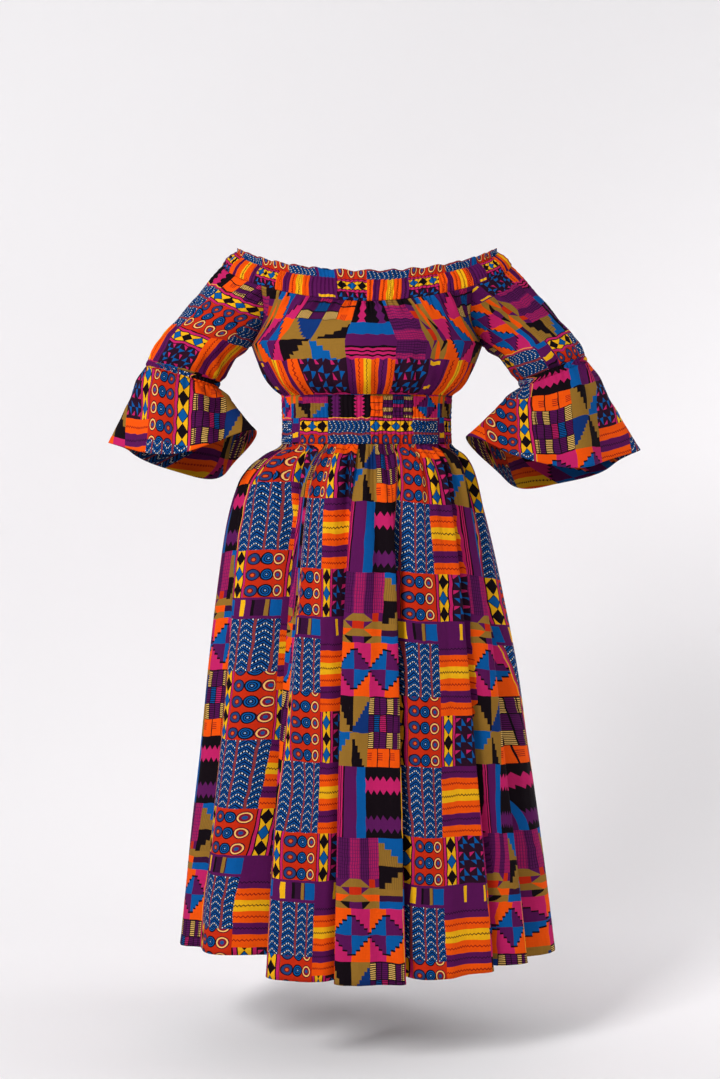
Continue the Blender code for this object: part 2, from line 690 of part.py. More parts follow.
def build_bodice_and_sleeves(materials):
    panels = {side: bodice_panel(side) for side in ("front", "back")}
    normals = {}
    for side, panel in panels.items():
        across = np.linspace(-1, 1, panel.shape[1])
        middle = 0.0 if side == "front" else math.pi
        normals[side] = grid_normals(panel, False)
        normals[side][0] = yoke_normals(middle + across * math.radians(RAGLAN_ANGLE))
        normals[side][-1] = level_normals(middle + across * math.pi / 2)
    sides = {
        "right": (1, SLEEVE_RIGHT, FLOUNCE_HEM_RIGHT),
        "left": (-1, SLEEVE_LEFT, FLOUNCE_HEM_LEFT),
    }
    for side, (sign, sections, hem) in sides.items():
        build_sleeve(side, sign, sections, hem, panels, normals, materials)
    for side, panel in panels.items():
        cloth_wall(f"bodice_{side}", pulled_in(panel, False), normals[side], materials["bodice"])


def main():
    clear_scene()
    collection = bpy.data.collections.new("dress")
    bpy.context.scene.collection.children.link(collection)
    materials = make_materials()
    build_neck_bands(materials["band"])
    build_bodice_and_sleeves(materials)
    build_waist_and_skirt(materials)


main()
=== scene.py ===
"""Looks for the off-the-shoulder maxi dress in wax print cotton.

Each piece is cut again at high resolution from the same sizes as its solid. Metres, +Z up, front at -Y.
The print is drawn by shader nodes from the UV map "cloth", which holds places on the print's chart:
X to the right along a repeat, Y down it, both in chart units of CHART_UNIT metres of cloth.
"""

import math

import bpy
import numpy as np
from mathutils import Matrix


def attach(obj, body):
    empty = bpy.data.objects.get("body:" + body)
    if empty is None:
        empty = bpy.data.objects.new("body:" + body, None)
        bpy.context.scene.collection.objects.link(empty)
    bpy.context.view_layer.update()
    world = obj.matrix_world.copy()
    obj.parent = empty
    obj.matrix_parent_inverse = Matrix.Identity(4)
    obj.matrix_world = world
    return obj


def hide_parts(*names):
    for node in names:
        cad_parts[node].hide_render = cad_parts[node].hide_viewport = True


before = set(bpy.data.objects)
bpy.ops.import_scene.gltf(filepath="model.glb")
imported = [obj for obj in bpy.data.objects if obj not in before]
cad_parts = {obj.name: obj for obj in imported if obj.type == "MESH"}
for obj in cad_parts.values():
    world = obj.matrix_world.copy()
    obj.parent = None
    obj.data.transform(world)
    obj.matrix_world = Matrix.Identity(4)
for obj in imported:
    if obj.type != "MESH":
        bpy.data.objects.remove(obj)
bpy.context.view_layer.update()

# Cloth
CLOTH = 0.0009
HEM_CLOTH = 0.0018
HEM_DEPTH = 0.012
SEAM_GAP = 0.0003
CHART_UNIT = 0.001764
WEAVE_TURN = 2 * math.pi / 0.4
# How much darker the inner side of the cloth is drawn: a little for the wrong side's duller print, mostly
# painted shade
INNER_SIDE_DULLING_AND_SHADE = 0.5
SHIRRING_PITCH = 0.0080
SHIRRING_HEIGHT = 0.0016
ELASTIC_ROW_PITCH = 0.0105
# How far gathers shift the print, in chart units, and over what distance
PUCKER = {"band": 1.0, "bodice": 1.1, "sleeve": 1.5, "flounce": 0.7, "skirt": 0.7}
PUCKER_REACH = 7.5

# Neck band
# Its rings: half width, reach to front and back, side height, drop at front and back, squareness
NECK_EDGE = (0.236, 0.136, 0.122, 0.024, 0.058, 0.034, 1.0)
YOKE_SEAM = (0.272, 0.164, 0.140, -0.010, 0.078, 0.070, 1.15)
DROP_SHAPE = 1.3
HEADER_SHARE = 0.24
HEADER_FLARE = 0.006
HEADER_LEAN = 0.6
FRONT_HEADER_WAVES = 9
SHOULDER_HEADER_WAVES = 8
HEADER_WAVE_HEIGHT = 0.0038
SHOULDER_DIP = 0.005
SHOULDER_DIP_REACH = 0.22
NECK_BAND_PUFF = 0.004

# Raglan seams and bodice
RAGLAN_ANGLE = 48.0
UNDERARM_Y = 0.004
RAGLAN_BOW = 0.014
EDGE_BOW_SHARE = 0.90
MIDDLE_BOW_SHARE = 0.35
BODICE_OVALS = [
    # height, half width, reach to the front, reach to the back
    (-0.160, 0.218, 0.188, 0.148),
    (-0.190, 0.207, 0.190, 0.152),
    (-0.212, 0.197, 0.187, 0.152),
    (-0.230, 0.186, 0.178, 0.147),
    (-0.243, 0.175, 0.163, 0.139),
    (-0.251, 0.165, 0.147, 0.131),
    (-0.2547, 0.161, 0.142, 0.129),
]
BODICE_FRONT_GATHERS = 16
BODICE_BACK_GATHERS = 12
BODICE_GATHER_HEIGHT = 0.0042
BODICE_FINE_HEIGHT = 0.0021
BODICE_SLACK = 0.0032
GATHERS_END = 0.82
ARMHOLE_EASE = 0.85
RAGLAN_ROWS = 5
BODICE_LOWER_ROWS = 5

# Waist and skirt
WAIST_TOP = -0.2547
WAIST_BOTTOM = -0.3453
SKIRT_OVALS = [
    # height, reach to the left, right, front and back
    (-0.2547, 0.1605, 0.1600, 0.1415, 0.1285),
    (-0.3000, 0.1590, 0.1580, 0.1400, 0.1270),
    (-0.3453, 0.1605, 0.1600, 0.1415, 0.1285),
    (-0.3520, 0.1640, 0.1620, 0.1440, 0.1310),
    (-0.3650, 0.1870, 0.1770, 0.1600, 0.1520),
    (-0.3850, 0.2120, 0.1900, 0.1750, 0.1760),
    (-0.4200, 0.2390, 0.2040, 0.1890, 0.1990),
    (-0.5000, 0.2640, 0.2270, 0.2020, 0.2200),
    (-0.6000, 0.2790, 0.2500, 0.2110, 0.2350),
    (-0.7500, 0.2960, 0.2780, 0.2220, 0.2460),
    (-0.9000, 0.3110, 0.3020, 0.2330, 0.2560),
    (-1.1000, 0.3330, 0.3310, 0.2440, 0.2670),
    (-1.3050, 0.3530, 0.3570, 0.2530, 0.2760),
]
GATHER_HEIGHT = 0.0056
GATHER_REACH = 0.042
FINE_GATHER_HEIGHT = 0.0013
SKIRT_SLACK = 0.0030
SEAM_GATHER_SHARE = 0.12
SIDE_SEAM_SHARE = 0.03
FOLD_TURN_POWER = 4.5
FOLD_DEPTH_EASE = 0.42
DEEP_FOLD = 0.020
DEEP_FOLD_SHARE = 0.35
FRONT_GATHERS = 20
BACK_GATHERS = 18

# Folds of the skirt at its hem: angle in degrees, depth inward and lift in millimetres
FRONT_FOLDS = [
    (-90.0, 0, 8),
    (-77.0, -7, 12),
    (-67.0, 12, 18),
    (-55.0, -3, 20),
    (-40.0, 34, 22),
    (-25.0, 84, 18),
    (-31.0, 2, 0),
    (-21.0, -8, -3),
    (-13.5, 4, -4),
    (-6.5, 27, -3),
    (-9.5, -2, -5),
    (-3.0, -9, -6),
    (4.0, -3, -6),
    (11.0, -7, -5),
    (8.0, 38, 0),
    (15.5, 3, 0),
    (23.0, -6, 0),
    (31.0, 0, 2),
    (39.5, -6, 3),
    (37.0, 34, 6),
    (45.0, 4, 7),
    (54.0, -6, 5),
    (59.5, 24, 3),
    (75.0, -6, 1),
    (90.0, 0, 0),
]
BACK_FOLDS = [
    (90.0, 0, 0),
    (102.0, -7, 2),
    (112.0, 18, 4),
    (123.0, -8, 2),
    (132.0, 34, 3),
    (141.0, -8, 0),
    (152.0, 0, 0),
    (161.0, 30, 2),
    (169.0, -10, 0),
    (180.0, 6, 0),
    (190.0, -9, 0),
    (199.0, 36, 3),
    (208.0, -7, 0),
    (219.0, 0, 0),
    (229.0, 28, 3),
    (239.0, -9, 2),
    (250.0, 16, 5),
    (260.0, -6, 8),
    (270.0, 0, 8),
]

# Sleeve sections: outer and inner points as x and z at +X, depth radius, place of the middle in y
SLEEVE_LEFT = [
    ((0.340, -0.088), (0.231, -0.170), 0.068, 0.004),
    ((0.382, -0.133), (0.2545, -0.190), 0.069, 0.007),
    ((0.407, -0.171), (0.2725, -0.219), 0.070, 0.010),
    ((0.415, -0.187), (0.2790, -0.228), 0.061, 0.010),
]
SLEEVE_RIGHT = [
    ((0.344, -0.087), (0.231, -0.170), 0.068, 0.004),
    ((0.385, -0.133), (0.2570, -0.187), 0.069, 0.007),
    ((0.407, -0.165), (0.2790, -0.214), 0.070, 0.010),
    ((0.413, -0.178), (0.2880, -0.227), 0.061, 0.010),
]
SLEEVE_SECTION_AT = (0.0, 0.45, 0.70, 0.93, 1.0)
SLEEVE_GATHERS = 9
SLEEVE_GATHER_HEIGHT = 0.0030
SLEEVE_GATHERS_AT = 0.90
SLEEVE_GATHERS_SPREAD = 0.16
SLEEVE_FINE_GATHERS = 31
SLEEVE_FINE_HEIGHT = 0.0011
SLEEVE_SLACK = 0.0032
SHOULDER_SHIRRING = 0.75
SHOULDER_SHIRRING_REACH = 0.42
ELBOW_BAND_WIDTH = 0.012

# Flounce hems, from the inner end round the front
FLOUNCE_HEM_LEFT = [
    (0.214, -0.062, -0.322),
    (0.282, -0.112, -0.343),
    (0.351, -0.136, -0.363),
    (0.433, -0.090, -0.357),
    (0.482, 0.004, -0.345),
    (0.447, 0.086, -0.368),
    (0.365, 0.128, -0.405),
    (0.272, 0.098, -0.404),
]
FLOUNCE_HEM_RIGHT = [
    (0.192, -0.068, -0.333),
    (0.270, -0.122, -0.365),
    (0.364, -0.142, -0.388),
    (0.437, -0.098, -0.379),
    (0.511, 0.000, -0.359),
    (0.463, 0.084, -0.395),
    (0.371, 0.132, -0.427),
    (0.272, 0.098, -0.421),
]
FLOUNCE_WAVES = 6
FLOUNCE_WAVE_HEIGHT = 0.009
FLOUNCE_WAVE_PHASE = 0.6
FLOUNCE_GATHERS = 12
FLOUNCE_GATHER_HEIGHT = 0.002
FLOUNCE_GATHERS_END = 0.3
FLOUNCE_FINE_GATHERS = 34
FLOUNCE_FINE_HEIGHT = 0.0012
FLOUNCE_SLACK = 0.0025
FLOUNCE_PUFF = 0.006
FLOUNCE_PUFF_ENDS = 0.5

# Fineness of the grids
NECK_COLUMNS, NECK_ROWS = 420, 18
BODICE_COLUMNS, BODICE_ROWS = 264, 64
EDGE_COLUMNS, SHOULDER_COLUMNS, SLEEVE_ROWS = 28, 180, 76
BAND_COLUMNS, BAND_ROWS = 420, 4
FLOUNCE_COLUMNS, FLOUNCE_ROWS = 240, 44
WAIST_COLUMNS, WAIST_ROWS = 560, 20
SKIRT_COLUMNS, SKIRT_ROWS = 384, 120
SKIRT_ROW_EASE = 0.35

# Where the print lies on each piece: (place, chart value) pairs and offsets, in chart units
NECK_CHART_TOP, NECK_CHART_SEAM = 46.0, 82.6
NECK_ANCHORS = [
    (-41, 214), (-22.9, 141), (-13.7, 119), (-0.1, 71), (18.7, 0), (32.3, -51), (51.5, -124),
]
BODICE_CHART_X = [(0.0, 152), (0.25, 133), (0.40, 122), (0.63, 98), (1.0, 72)]
BODICE_ANCHORS = [
    (-0.75, -124), (-0.535, -70), (-0.115, 0), (0.158, 71), (0.36, 117), (0.467, 141), (0.76, 195),
]
BODICE_BACK_SHIFT = 97.0
WAIST_CHART_X = [(0.0, 132), (0.46, 172), (0.8, 189), (1.0, 200)]
WAIST_ANCHORS = [(-51.3, 119), (-26.8, 71), (2.5, 0), (32.1, -70)]
SKIRT_CHART_SCALE = 0.985
SKIRT_FRONT_HEM = [(0, 754), (12, 748), (24, 732)]
SKIRT_BACK_HEM = [(0, 732), (18, 754)]
# Chart X along the front, at six shares of the way down: the print runs a little aslant to the folds
SKIRT_X_AT = (0.141, 0.288, 0.473, 0.639, 0.749, 0.897)
SKIRT_FRONT_X = [
    # fold, chart X at each share
    (0.0, -234, -236, -236, -238, -238, -233),
    (2.5, -187, -180, -172, -170, -166, -155),
    (4.0, -136, -129, -122, -113, -106, -97),
    (5.0, -100, -72, -34, -60, -56, -49),
    (6.35, -68, -52, -10, 3, 10, 10),
    (6.6, 26, 27, 25, 13, 20, 18),
    (7.6, 63, 60, 56, 53, 54, 56),
    (8.4, 76, 84, 80, 80, 79, 83),
    (10.0, 102, 104, 98, 98, 98, 97),
    (11.5, 129, 132, 135, 137, 136, 134),
    (12.9, 153, 160, 170, 172, 172, 173),
    (14.7, 195, 192, 186, 186, 181, 186),
    (16.2, 229, 226, 224, 227, 229, 233),
    (17.9, 250, 254, 262, 268, 271, 271),
    (19.9, 273, 270, 270, 273, 274, 308),
    (21.0, 302, 296, 305, 320, 343, 345),
    (22.2, 337, 344, 331, 322, 284, 290),
    (23.0, 364, 364, 347, 336, 319, 308),
    (24.0, 387, 385, 374, 352, 348, 338),
]
SKIRT_BACK_X = [(0.0, 352, 352, 352, 352, 352, 352), (18.0, 966, 966, 966, 966, 966, 966)]
SLEEVE_PRINT = {
    # chart X at the elbow and its scale, Y at the sleeve's front and all the way round it,
    # Y at the flounce's top and its scale
    "left": (100.0, 0.93, 224.7, 335.0, 263.0, 0.82),
    "right": (205.0, 1.0, 129.6, 385.0, 289.0, 1.0),
}
# Chart units of cloth from the middle of the flounce's front to chart X
FLOUNCE_ANCHORS = {
    "left": [(-90, -64.5), (4, 18), (32, 56), (90, 107)],
    "right": [(-90, -105), (31, 0), (95, 57)],
}

# Camera, in millimetres and in pixels of the photograph
SENSOR_HEIGHT = 36.0
PICTURE_PIXELS, FOCAL_PIXELS, TILT_PIXELS = 1079, 1842, 99.5

# Place of each side of a piece on a baked image: left, bottom, width and height
BAKE_OUTER = (0.004, 0.285, 0.992, 0.711)
BAKE_INNER = (0.004, 0.030, 0.992, 0.245)
BAKE_RIM_HEIGHT = 0.018


def unit(vectors):
    return vectors / np.maximum(np.linalg.norm(vectors, axis=-1, keepdims=True), 1e-12)


def smooth(share):
    share = np.clip(share, 0.0, 1.0)
    return share * share * (3 - 2 * share)


def through(places, values, at, held=False, closed_over=None):
    """A cubic curve through values given at places, with the slopes of its chords.

    Held slopes keep it from overshooting the values. A closed curve repeats after closed_over."""
    places, values = np.asarray(places, float), np.asarray(values, float)
    at = np.atleast_1d(np.asarray(at, float))
    if closed_over:
        places = np.concatenate([places[-1:] - closed_over, places, places[:2] + closed_over])
        values = np.concatenate([values[-1:], values, values[:2]])
    wide = (-1, *[1] * (values.ndim - 1))
    steps = np.diff(places)
    chords = np.diff(values, axis=0) / steps.reshape(wide)
    slopes = np.empty_like(values)
    slopes[0], slopes[-1] = chords[0], chords[-1]
    product, total = chords[1:] * chords[:-1], chords[1:] + chords[:-1]
    if held:
        same_way = product > 0
        slopes[1:-1] = np.where(same_way, 2 * product / np.where(same_way, total, 1.0), 0.0)
    else:
        slopes[1:-1] = total / 2
    i = np.clip(np.searchsorted(places, at, side="right") - 1, 0, len(steps) - 1)
    step = steps[i].reshape(wide)
    share = ((at - places[i]) / steps[i]).reshape(wide)
    from_a = (values[i] * (1 + 2 * share) + slopes[i] * step * share) * (1 - share) ** 2
    from_b = (values[i + 1] * (3 - 2 * share) + slopes[i + 1] * step * (share - 1)) * share**2
    return from_a + from_b


def section_at(table, z):
    """Each column after the first of a table of sections, at height z."""
    heights, *columns = zip(*table)
    return [through(-np.array(heights), column, -z, held=True) for column in columns]


def noise(u, v, seed):
    """Smooth noise between -1 and 1 over a plane, alike on every run. It repeats after 64 units."""
    lattice = np.random.default_rng(seed).uniform(-1, 1, (64, 64))
    u, v = np.broadcast_arrays(np.asarray(u, float), np.asarray(v, float))
    i, k = np.floor(u).astype(int), np.floor(v).astype(int)
    a, b = smooth(u - i), smooth(v - k)
    low, high = (
        lattice[i % 64, (k + step) % 64] * (1 - a) + lattice[(i + 1) % 64, (k + step) % 64] * a
        for step in (0, 1)
    )
    return low * (1 - b) + high * b


def neck_ring(angle, half_width, front, back, side_z, front_drop, back_drop, squareness):
    s, c = np.sin(angle), np.cos(angle)
    x = half_width * np.sign(s) * np.abs(s) ** squareness
    y = -np.where(c > 0, front, back) * c
    z = side_z - np.where(c > 0, front_drop, back_drop) * np.abs(c) ** DROP_SHAPE
    return np.stack([x, y, z], axis=-1)


def oval(angle, left, right, front, back, z):
    s, c = np.sin(angle), np.cos(angle)
    x = (left + right) / 2 * s + (right - left) / 2 * s * s
    y = -np.where(c > 0, front, back) * c
    return np.stack([x, y, z + 0 * s], axis=-1)


def outward(angle):
    """Level directions away from the middle: angle 0 is the front, and a quarter turn is the right."""
    return np.stack([np.sin(angle), -np.cos(angle), 0 * angle], axis=-1)


def grid_normals(mid, closed):
    """Directions out of the cloth at each point of a grid."""
    if closed:
        along = np.roll(mid, -1, axis=1) - np.roll(mid, 1, axis=1)
    else:
        along = np.gradient(mid, axis=1)
    down = np.gradient(mid, axis=0)
    return unit(np.cross(along, -down))


def lengths_along(grid, axis):
    """Length of cloth from the grid's first row or column to each point."""
    steps = np.linalg.norm(np.diff(grid, axis=axis), axis=2)
    start = np.zeros_like(grid[..., 0].take([0], axis=axis))
    return np.concatenate([start, np.cumsum(steps, axis=axis)], axis=axis)


def pulled_in(mid, closed, hem):
    """The grid drawn in at its seams, so that neighbours don't touch. A hem stays where it is."""
    mid = mid.copy()
    half = SEAM_GAP / 2
    mid[0] += unit(mid[1] - mid[0]) * half
    if not hem:
        mid[-1] += unit(mid[-2] - mid[-1]) * half
    if not closed:
        mid[:, 0] += unit(mid[:, 1] - mid[:, 0]) * half
        mid[:, -1] += unit(mid[:, -2] - mid[:, -1]) * half
    return mid


def wall_faces(rows, columns, wide, closed):
    """Quads of a wall round a grid: its outer side, its inner side and its rims.

    Each group holds vertices, places on the chart, and where it goes on a baked image. The chart has
    wide columns: one more than the grid where a closed piece's last column repeats its first."""
    inside = rows * columns
    last = wide - 1
    r, k = np.meshgrid(np.arange(rows - 1), np.arange(last), indexing="ij")
    corners = [(r, k), (r + 1, k), (r + 1, k + 1), (r, k + 1)]
    face = np.stack([a * columns + b % columns for a, b in corners], -1).reshape(-1, 4)
    spot = np.stack([a * wide + b for a, b in corners], -1).reshape(-1, 4)
    backwards = [0, 3, 2, 1]
    groups = [(face, spot, BAKE_OUTER), (face[:, backwards] + inside, spot[:, backwards], BAKE_INNER)]
    across, down = np.arange(last), np.arange(rows - 1)
    # Rims: row and column of each start, steps to its end, and the way round
    rims = [(0 * across, across, 0, 1, 1), (0 * across + rows - 1, across, 0, 1, -1)]
    if not closed:
        rims += [(down, 0 * down, 1, 0, -1), (down, 0 * down + last, 1, 0, 1)]
    for number, (r, k, dr, dk, way) in enumerate(rims):
        ends = [(r, k), (r + dr, k + dk)]
        start, end = (a * columns + b % columns for a, b in ends)
        start_spot, end_spot = (a * wide + b for a, b in ends)
        face = np.stack([start, end, end + inside, start + inside], -1)
        spot = np.stack([start_spot, end_spot, end_spot, start_spot], -1)
        groups.append((face[:, ::way], spot[:, ::way], number))
    return groups


def cloth(node, mid, chart, kind, closed=False, turned=False, hem=False):
    """A thin wall of cloth round a grid of points, which takes the place of a CAD node and hides it."""
    name = f"{node}_cloth"
    if turned:
        mid, chart = mid[:, ::-1], chart[:, ::-1]
    if closed:
        mid = mid[:, :-1]
    spot = np.moveaxis(chart / PUCKER_REACH, -1, 0)
    chart = chart + PUCKER[kind] * np.stack([noise(*spot, seed) for seed in (91, 92)], -1)
    normals = grid_normals(mid, closed)
    thickness = np.full(mid.shape[0], CLOTH)
    if hem:
        above_hem = lengths_along(mid[::-1], 0)[::-1].mean(axis=1)
        thickness += (HEM_CLOTH - CLOTH) * (above_hem < HEM_DEPTH)
    mid = pulled_in(mid, closed, hem)
    half = normals * thickness[:, None, None] / 2
    points = np.concatenate([(mid + half).reshape(-1, 3), (mid - half).reshape(-1, 3)])
    groups = wall_faces(*mid.shape[:2], chart.shape[1], closed)
    faces, spots = (np.concatenate([group[part] for group in groups]) for part in (0, 1))

    mesh = bpy.data.meshes.new(name)
    mesh.vertices.add(len(points))
    mesh.vertices.foreach_set("co", points.astype(np.float32).ravel())
    mesh.loops.add(faces.size)
    mesh.loops.foreach_set("vertex_index", faces.astype(np.int32).ravel())
    mesh.polygons.add(len(faces))
    mesh.polygons.foreach_set("loop_start", np.arange(0, faces.size, 4, dtype=np.int32))
    mesh.update(calc_edges=True)
    mesh.validate()
    mesh.shade_smooth()
    print_places = chart.reshape(-1, 2)[spots]
    for map_name, corners in (("cloth", print_places), ("OFBake", bake_places(groups, chart.shape))):
        layer = mesh.uv_layers.new(name=map_name)
        layer.uv.foreach_set("vector", corners.astype(np.float32).ravel())
    # Faces on the inner side, which the material darkens: a little for the duller print, mostly painted
    # shade
    shaded_inner_side = mesh.attributes.new("shaded_inner_side", "FLOAT", "FACE")
    flags = np.concatenate([np.full(len(g[0]), float(g[2] is BAKE_INNER)) for g in groups])
    shaded_inner_side.data.foreach_set("value", flags.astype(np.float32))

    made = bpy.data.objects.new(name, mesh)
    bpy.context.scene.collection.objects.link(made)
    made.data.materials.append(WAX_PRINT)
    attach(made, "root")
    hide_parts(node)


def laid(x, y):
    """A grid of chart places from chart X and Y, each given by rows, by columns or by both."""
    return np.stack(np.broadcast_arrays(x, y), -1)


def bake_places(groups, shape):
    """A second map without overlaps, for images baked from the print."""
    rows, wide = shape[:2]
    made = []
    for _, spot, where in groups:
        row, column = spot // wide / (rows - 1), spot % wide / (wide - 1)
        if isinstance(where, tuple):
            left, bottom, width, height = where
            made.append(np.stack([left + column * width, bottom + (1 - row) * height], -1))
            continue
        run = column if where < 2 else row
        side = np.array([0, 0, 1, 1]) * BAKE_RIM_HEIGHT
        made.append(np.stack([(where + 0.02 + 0.96 * run) / 4, 0.004 + side + 0 * run], -1))
    return np.concatenate(made)


def shirring(run, down, strength):
    """Fine ribs that elastic draws the cloth into, a little flatter along each row of elastic.

    run is metres along the elastic, down is metres across it."""
    rows = 0.72 + 0.28 * np.cos(2 * math.pi * down / ELASTIC_ROW_PITCH)
    wander = 0.22 * noise(run / 0.021, down / 0.016, 11)
    ribs = np.cos(2 * math.pi * (run / SHIRRING_PITCH + wander))
    uneven = 1 + 0.35 * noise(run / 0.009, down / 0.03, 12)
    return SHIRRING_HEIGHT * strength * rows * uneven * ribs


def neck_band_surface(angle, phase, down):
    """One ring of the band, down from 0 at the header's tips to 1 at the yoke seam."""
    top, bottom = neck_ring(angle, *NECK_EDGE), neck_ring(angle, *YOKE_SEAM)
    out = unit(outward(angle) + np.array([0, 0, HEADER_LEAN]))
    below = max(0.0, (down - HEADER_SHARE) / (1 - HEADER_SHARE))
    above = max(0.0, 1 - down / HEADER_SHARE)
    over_shoulder = np.exp(-((np.cos(angle) / SHOULDER_DIP_REACH) ** 2))[:, None]
    top = top - np.array([0, 0, SHOULDER_DIP * above]) * over_shoulder
    waves = -np.cos(phase)[:, None]
    push = NECK_BAND_PUFF * math.sin(math.pi * below) + HEADER_FLARE * above
    return top + (bottom - top) * down + out * (push + waves * HEADER_WAVE_HEIGHT * above)


def build_neck_bands():
    """The band in four pieces, parted by the raglan seams."""
    turn = math.radians(RAGLAN_ANGLE)
    spans = {
        "neck_band_front": (-turn, turn, FRONT_HEADER_WAVES),
        "neck_band_right": (turn, math.pi - turn, SHOULDER_HEADER_WAVES),
        "neck_band_back": (math.pi - turn, math.pi + turn, FRONT_HEADER_WAVES),
        "neck_band_left": (math.pi + turn, 2 * math.pi - turn, SHOULDER_HEADER_WAVES),
    }
    for name, (start, end, waves) in spans.items():
        place = np.linspace(0, 1, NECK_COLUMNS + 1)
        angle = start + (end - start) * place
        wobble = 0.35 * noise(place * 7, 3.5, 21)
        phase = 2 * math.pi * waves * (place + wobble / waves * np.sin(math.pi * place))
        levels = np.linspace(0, 1, NECK_ROWS + 1)
        mid = np.stack([neck_band_surface(angle, phase, level) for level in levels])
        run = lengths_along(neck_ring(angle, *YOKE_SEAM)[None], 1)
        down = lengths_along(mid, 0)
        below = smooth((levels - 0.5 * HEADER_SHARE) / HEADER_SHARE)
        strength = (0.35 + 0.65 * below) * smooth((1.06 - levels) / 0.1)
        mid = mid + grid_normals(mid, False) * shirring(run, down, strength[:, None])[..., None]
        x = NECK_CHART_TOP + (NECK_CHART_SEAM - NECK_CHART_TOP) * levels
        y = anchored(NECK_ANCHORS, np.degrees(angle))
        cloth(name, mid, laid(x[:, None], y), "band")


def anchored(anchors, at):
    """Straight lines through (place, chart value) pairs, carried on past both ends."""
    places, values = (np.array(column, float) for column in zip(*anchors))
    made = np.interp(at, places, values)
    rate = (values[-1] - values[0]) / (places[-1] - places[0])
    return made + rate * (np.maximum(at - places[-1], 0) + np.minimum(at - places[0], 0))


def bodice_row(side, across, row, gathers):
    """A row of a bodice panel: 0 to RAGLAN_ROWS run down to the underarm, the rest to the waist."""
    front = side == "front"
    middle = 0.0 if front else math.pi
    below = (row - RAGLAN_ROWS) / BODICE_LOWER_ROWS
    share = min(1.0, row / RAGLAN_ROWS)
    z, lowest = BODICE_OVALS[0][0], BODICE_OVALS[-1][0]
    if below > 0:
        z = z + (lowest - z) * (1 - (1 - below) ** 1.5)
    half_width, to_front, to_back = section_at(BODICE_OVALS, z)
    angle = middle + across * math.pi / 2
    low = oval(angle, half_width, half_width, to_front, to_back, z)
    low[:, 1] += UNDERARM_Y * np.abs(across) ** 3 * share
    high = neck_ring(middle + across * math.radians(RAGLAN_ANGLE), *YOKE_SEAM)
    mid = high + (low - high) * share**ARMHOLE_EASE
    bow = math.sin(math.pi * share) * RAGLAN_BOW
    edge = np.abs(across) ** 3
    mid[:, 0] -= np.sign(mid[:, 0]) * bow * edge
    mid[:, 1] += (-bow if front else bow) * (EDGE_BOW_SHARE * edge + MIDDLE_BOW_SHARE * (1 - edge))
    out = outward(angle)
    fade = 1 - smooth((np.abs(across) - GATHERS_END) / (1 - GATHERS_END))
    height = BODICE_GATHER_HEIGHT * np.maximum(gathers_above_waist(below), gathers_under_yoke(share))
    wander = 0.5 * noise(across * 5, row * 0.35, 31)
    waves = np.cos(math.pi * gathers * (across + 1) + wander * math.pi) * fade
    waves = waves * (1 + 0.5 * noise(across * 8, 7 + row * 0.5, 32))
    wrinkles = bodice_wrinkles(across, row, gathers, fade)
    return mid + out * (waves * height)[:, None] + out * wrinkles[:, None]


def gathers_above_waist(below):
    closing = smooth((below - 0.7) / 0.3)
    return smooth(below * 1.6) * (1 - 0.7 * closing)


def gathers_under_yoke(share):
    return 0.1 + (0.7 * math.exp(-(((share - 0.12) / 0.16) ** 2)) - 0.1) * smooth(share / 0.10)


def bodice_wrinkles(across, row, gathers, fade):
    """Finer pleats at both seams, and the slack of the cloth between them."""
    last = RAGLAN_ROWS + BODICE_LOWER_ROWS
    near_seams = math.exp(-((row / 0.9) ** 2)) + math.exp(-(((last - row) / 1.6) ** 2))
    fine = np.cos(math.pi * gathers * 2.7 * across + 2.2 * noise(across * 9, row * 0.4, 33))
    slack = noise(across * 6 + row * 0.12, row * 0.55, 34)
    slack = BODICE_SLACK * slack * math.sin(math.pi * row / last)
    return fade * (BODICE_FINE_HEIGHT * near_seams * fine + slack)


def bodice_edge(side, sign, rows):
    """One raglan edge of a bodice panel, from the yoke to the underarm or back."""
    across = np.array([sign if side == "front" else -sign], float)
    return np.concatenate([bodice_row(side, across, row, 1) for row in rows])


def build_bodice():
    rows = np.linspace(0, RAGLAN_ROWS + BODICE_LOWER_ROWS, BODICE_ROWS + 1)
    for side, gathers in (("front", BODICE_FRONT_GATHERS), ("back", BODICE_BACK_GATHERS)):
        across = np.linspace(-1, 1, BODICE_COLUMNS + 1)
        mid = np.stack([bodice_row(side, across, row, gathers) for row in rows])
        down = lengths_along(mid, 0).mean(axis=1)
        x = anchored(BODICE_CHART_X, down / down[-1])
        y = anchored(BODICE_ANCHORS, across)
        if side == "back":
            y = y + BODICE_BACK_SHIFT
        cloth(f"bodice_{side}", mid, laid(x[:, None], y), "bodice")


def sleeve_side(sections, sign):
    """Each section as its centre, its half width outward and its half depth forward."""
    made = []
    for (x_out, z_out), (x_in, z_in), depth, behind in sections:
        outer = np.array([sign * x_out, behind, z_out])
        inner = np.array([sign * x_in, behind, z_in])
        made.append(((outer + inner) / 2, (outer - inner) / 2, np.array([0.0, -depth, 0.0])))
    return made


def section_ring(section, turn):
    centre, half_out, half_forward = section
    at = 2 * math.pi * turn
    return centre + half_out * -np.cos(at)[:, None] + half_forward * np.sin(at)[:, None]


def armhole_loop(sign):
    """The sleeve's upper edge: up the front raglan seam, over the shoulder and down the back one."""
    rows = np.linspace(0, RAGLAN_ROWS, EDGE_COLUMNS + 1)
    start, end = math.radians(RAGLAN_ANGLE), math.pi - math.radians(RAGLAN_ANGLE)
    over = sign * np.linspace(start, end, SHOULDER_COLUMNS + 1)
    front, back = bodice_edge("front", sign, rows[::-1]), bodice_edge("back", sign, rows)
    return np.concatenate([front, neck_ring(over, *YOKE_SEAM)[1:-1], back])


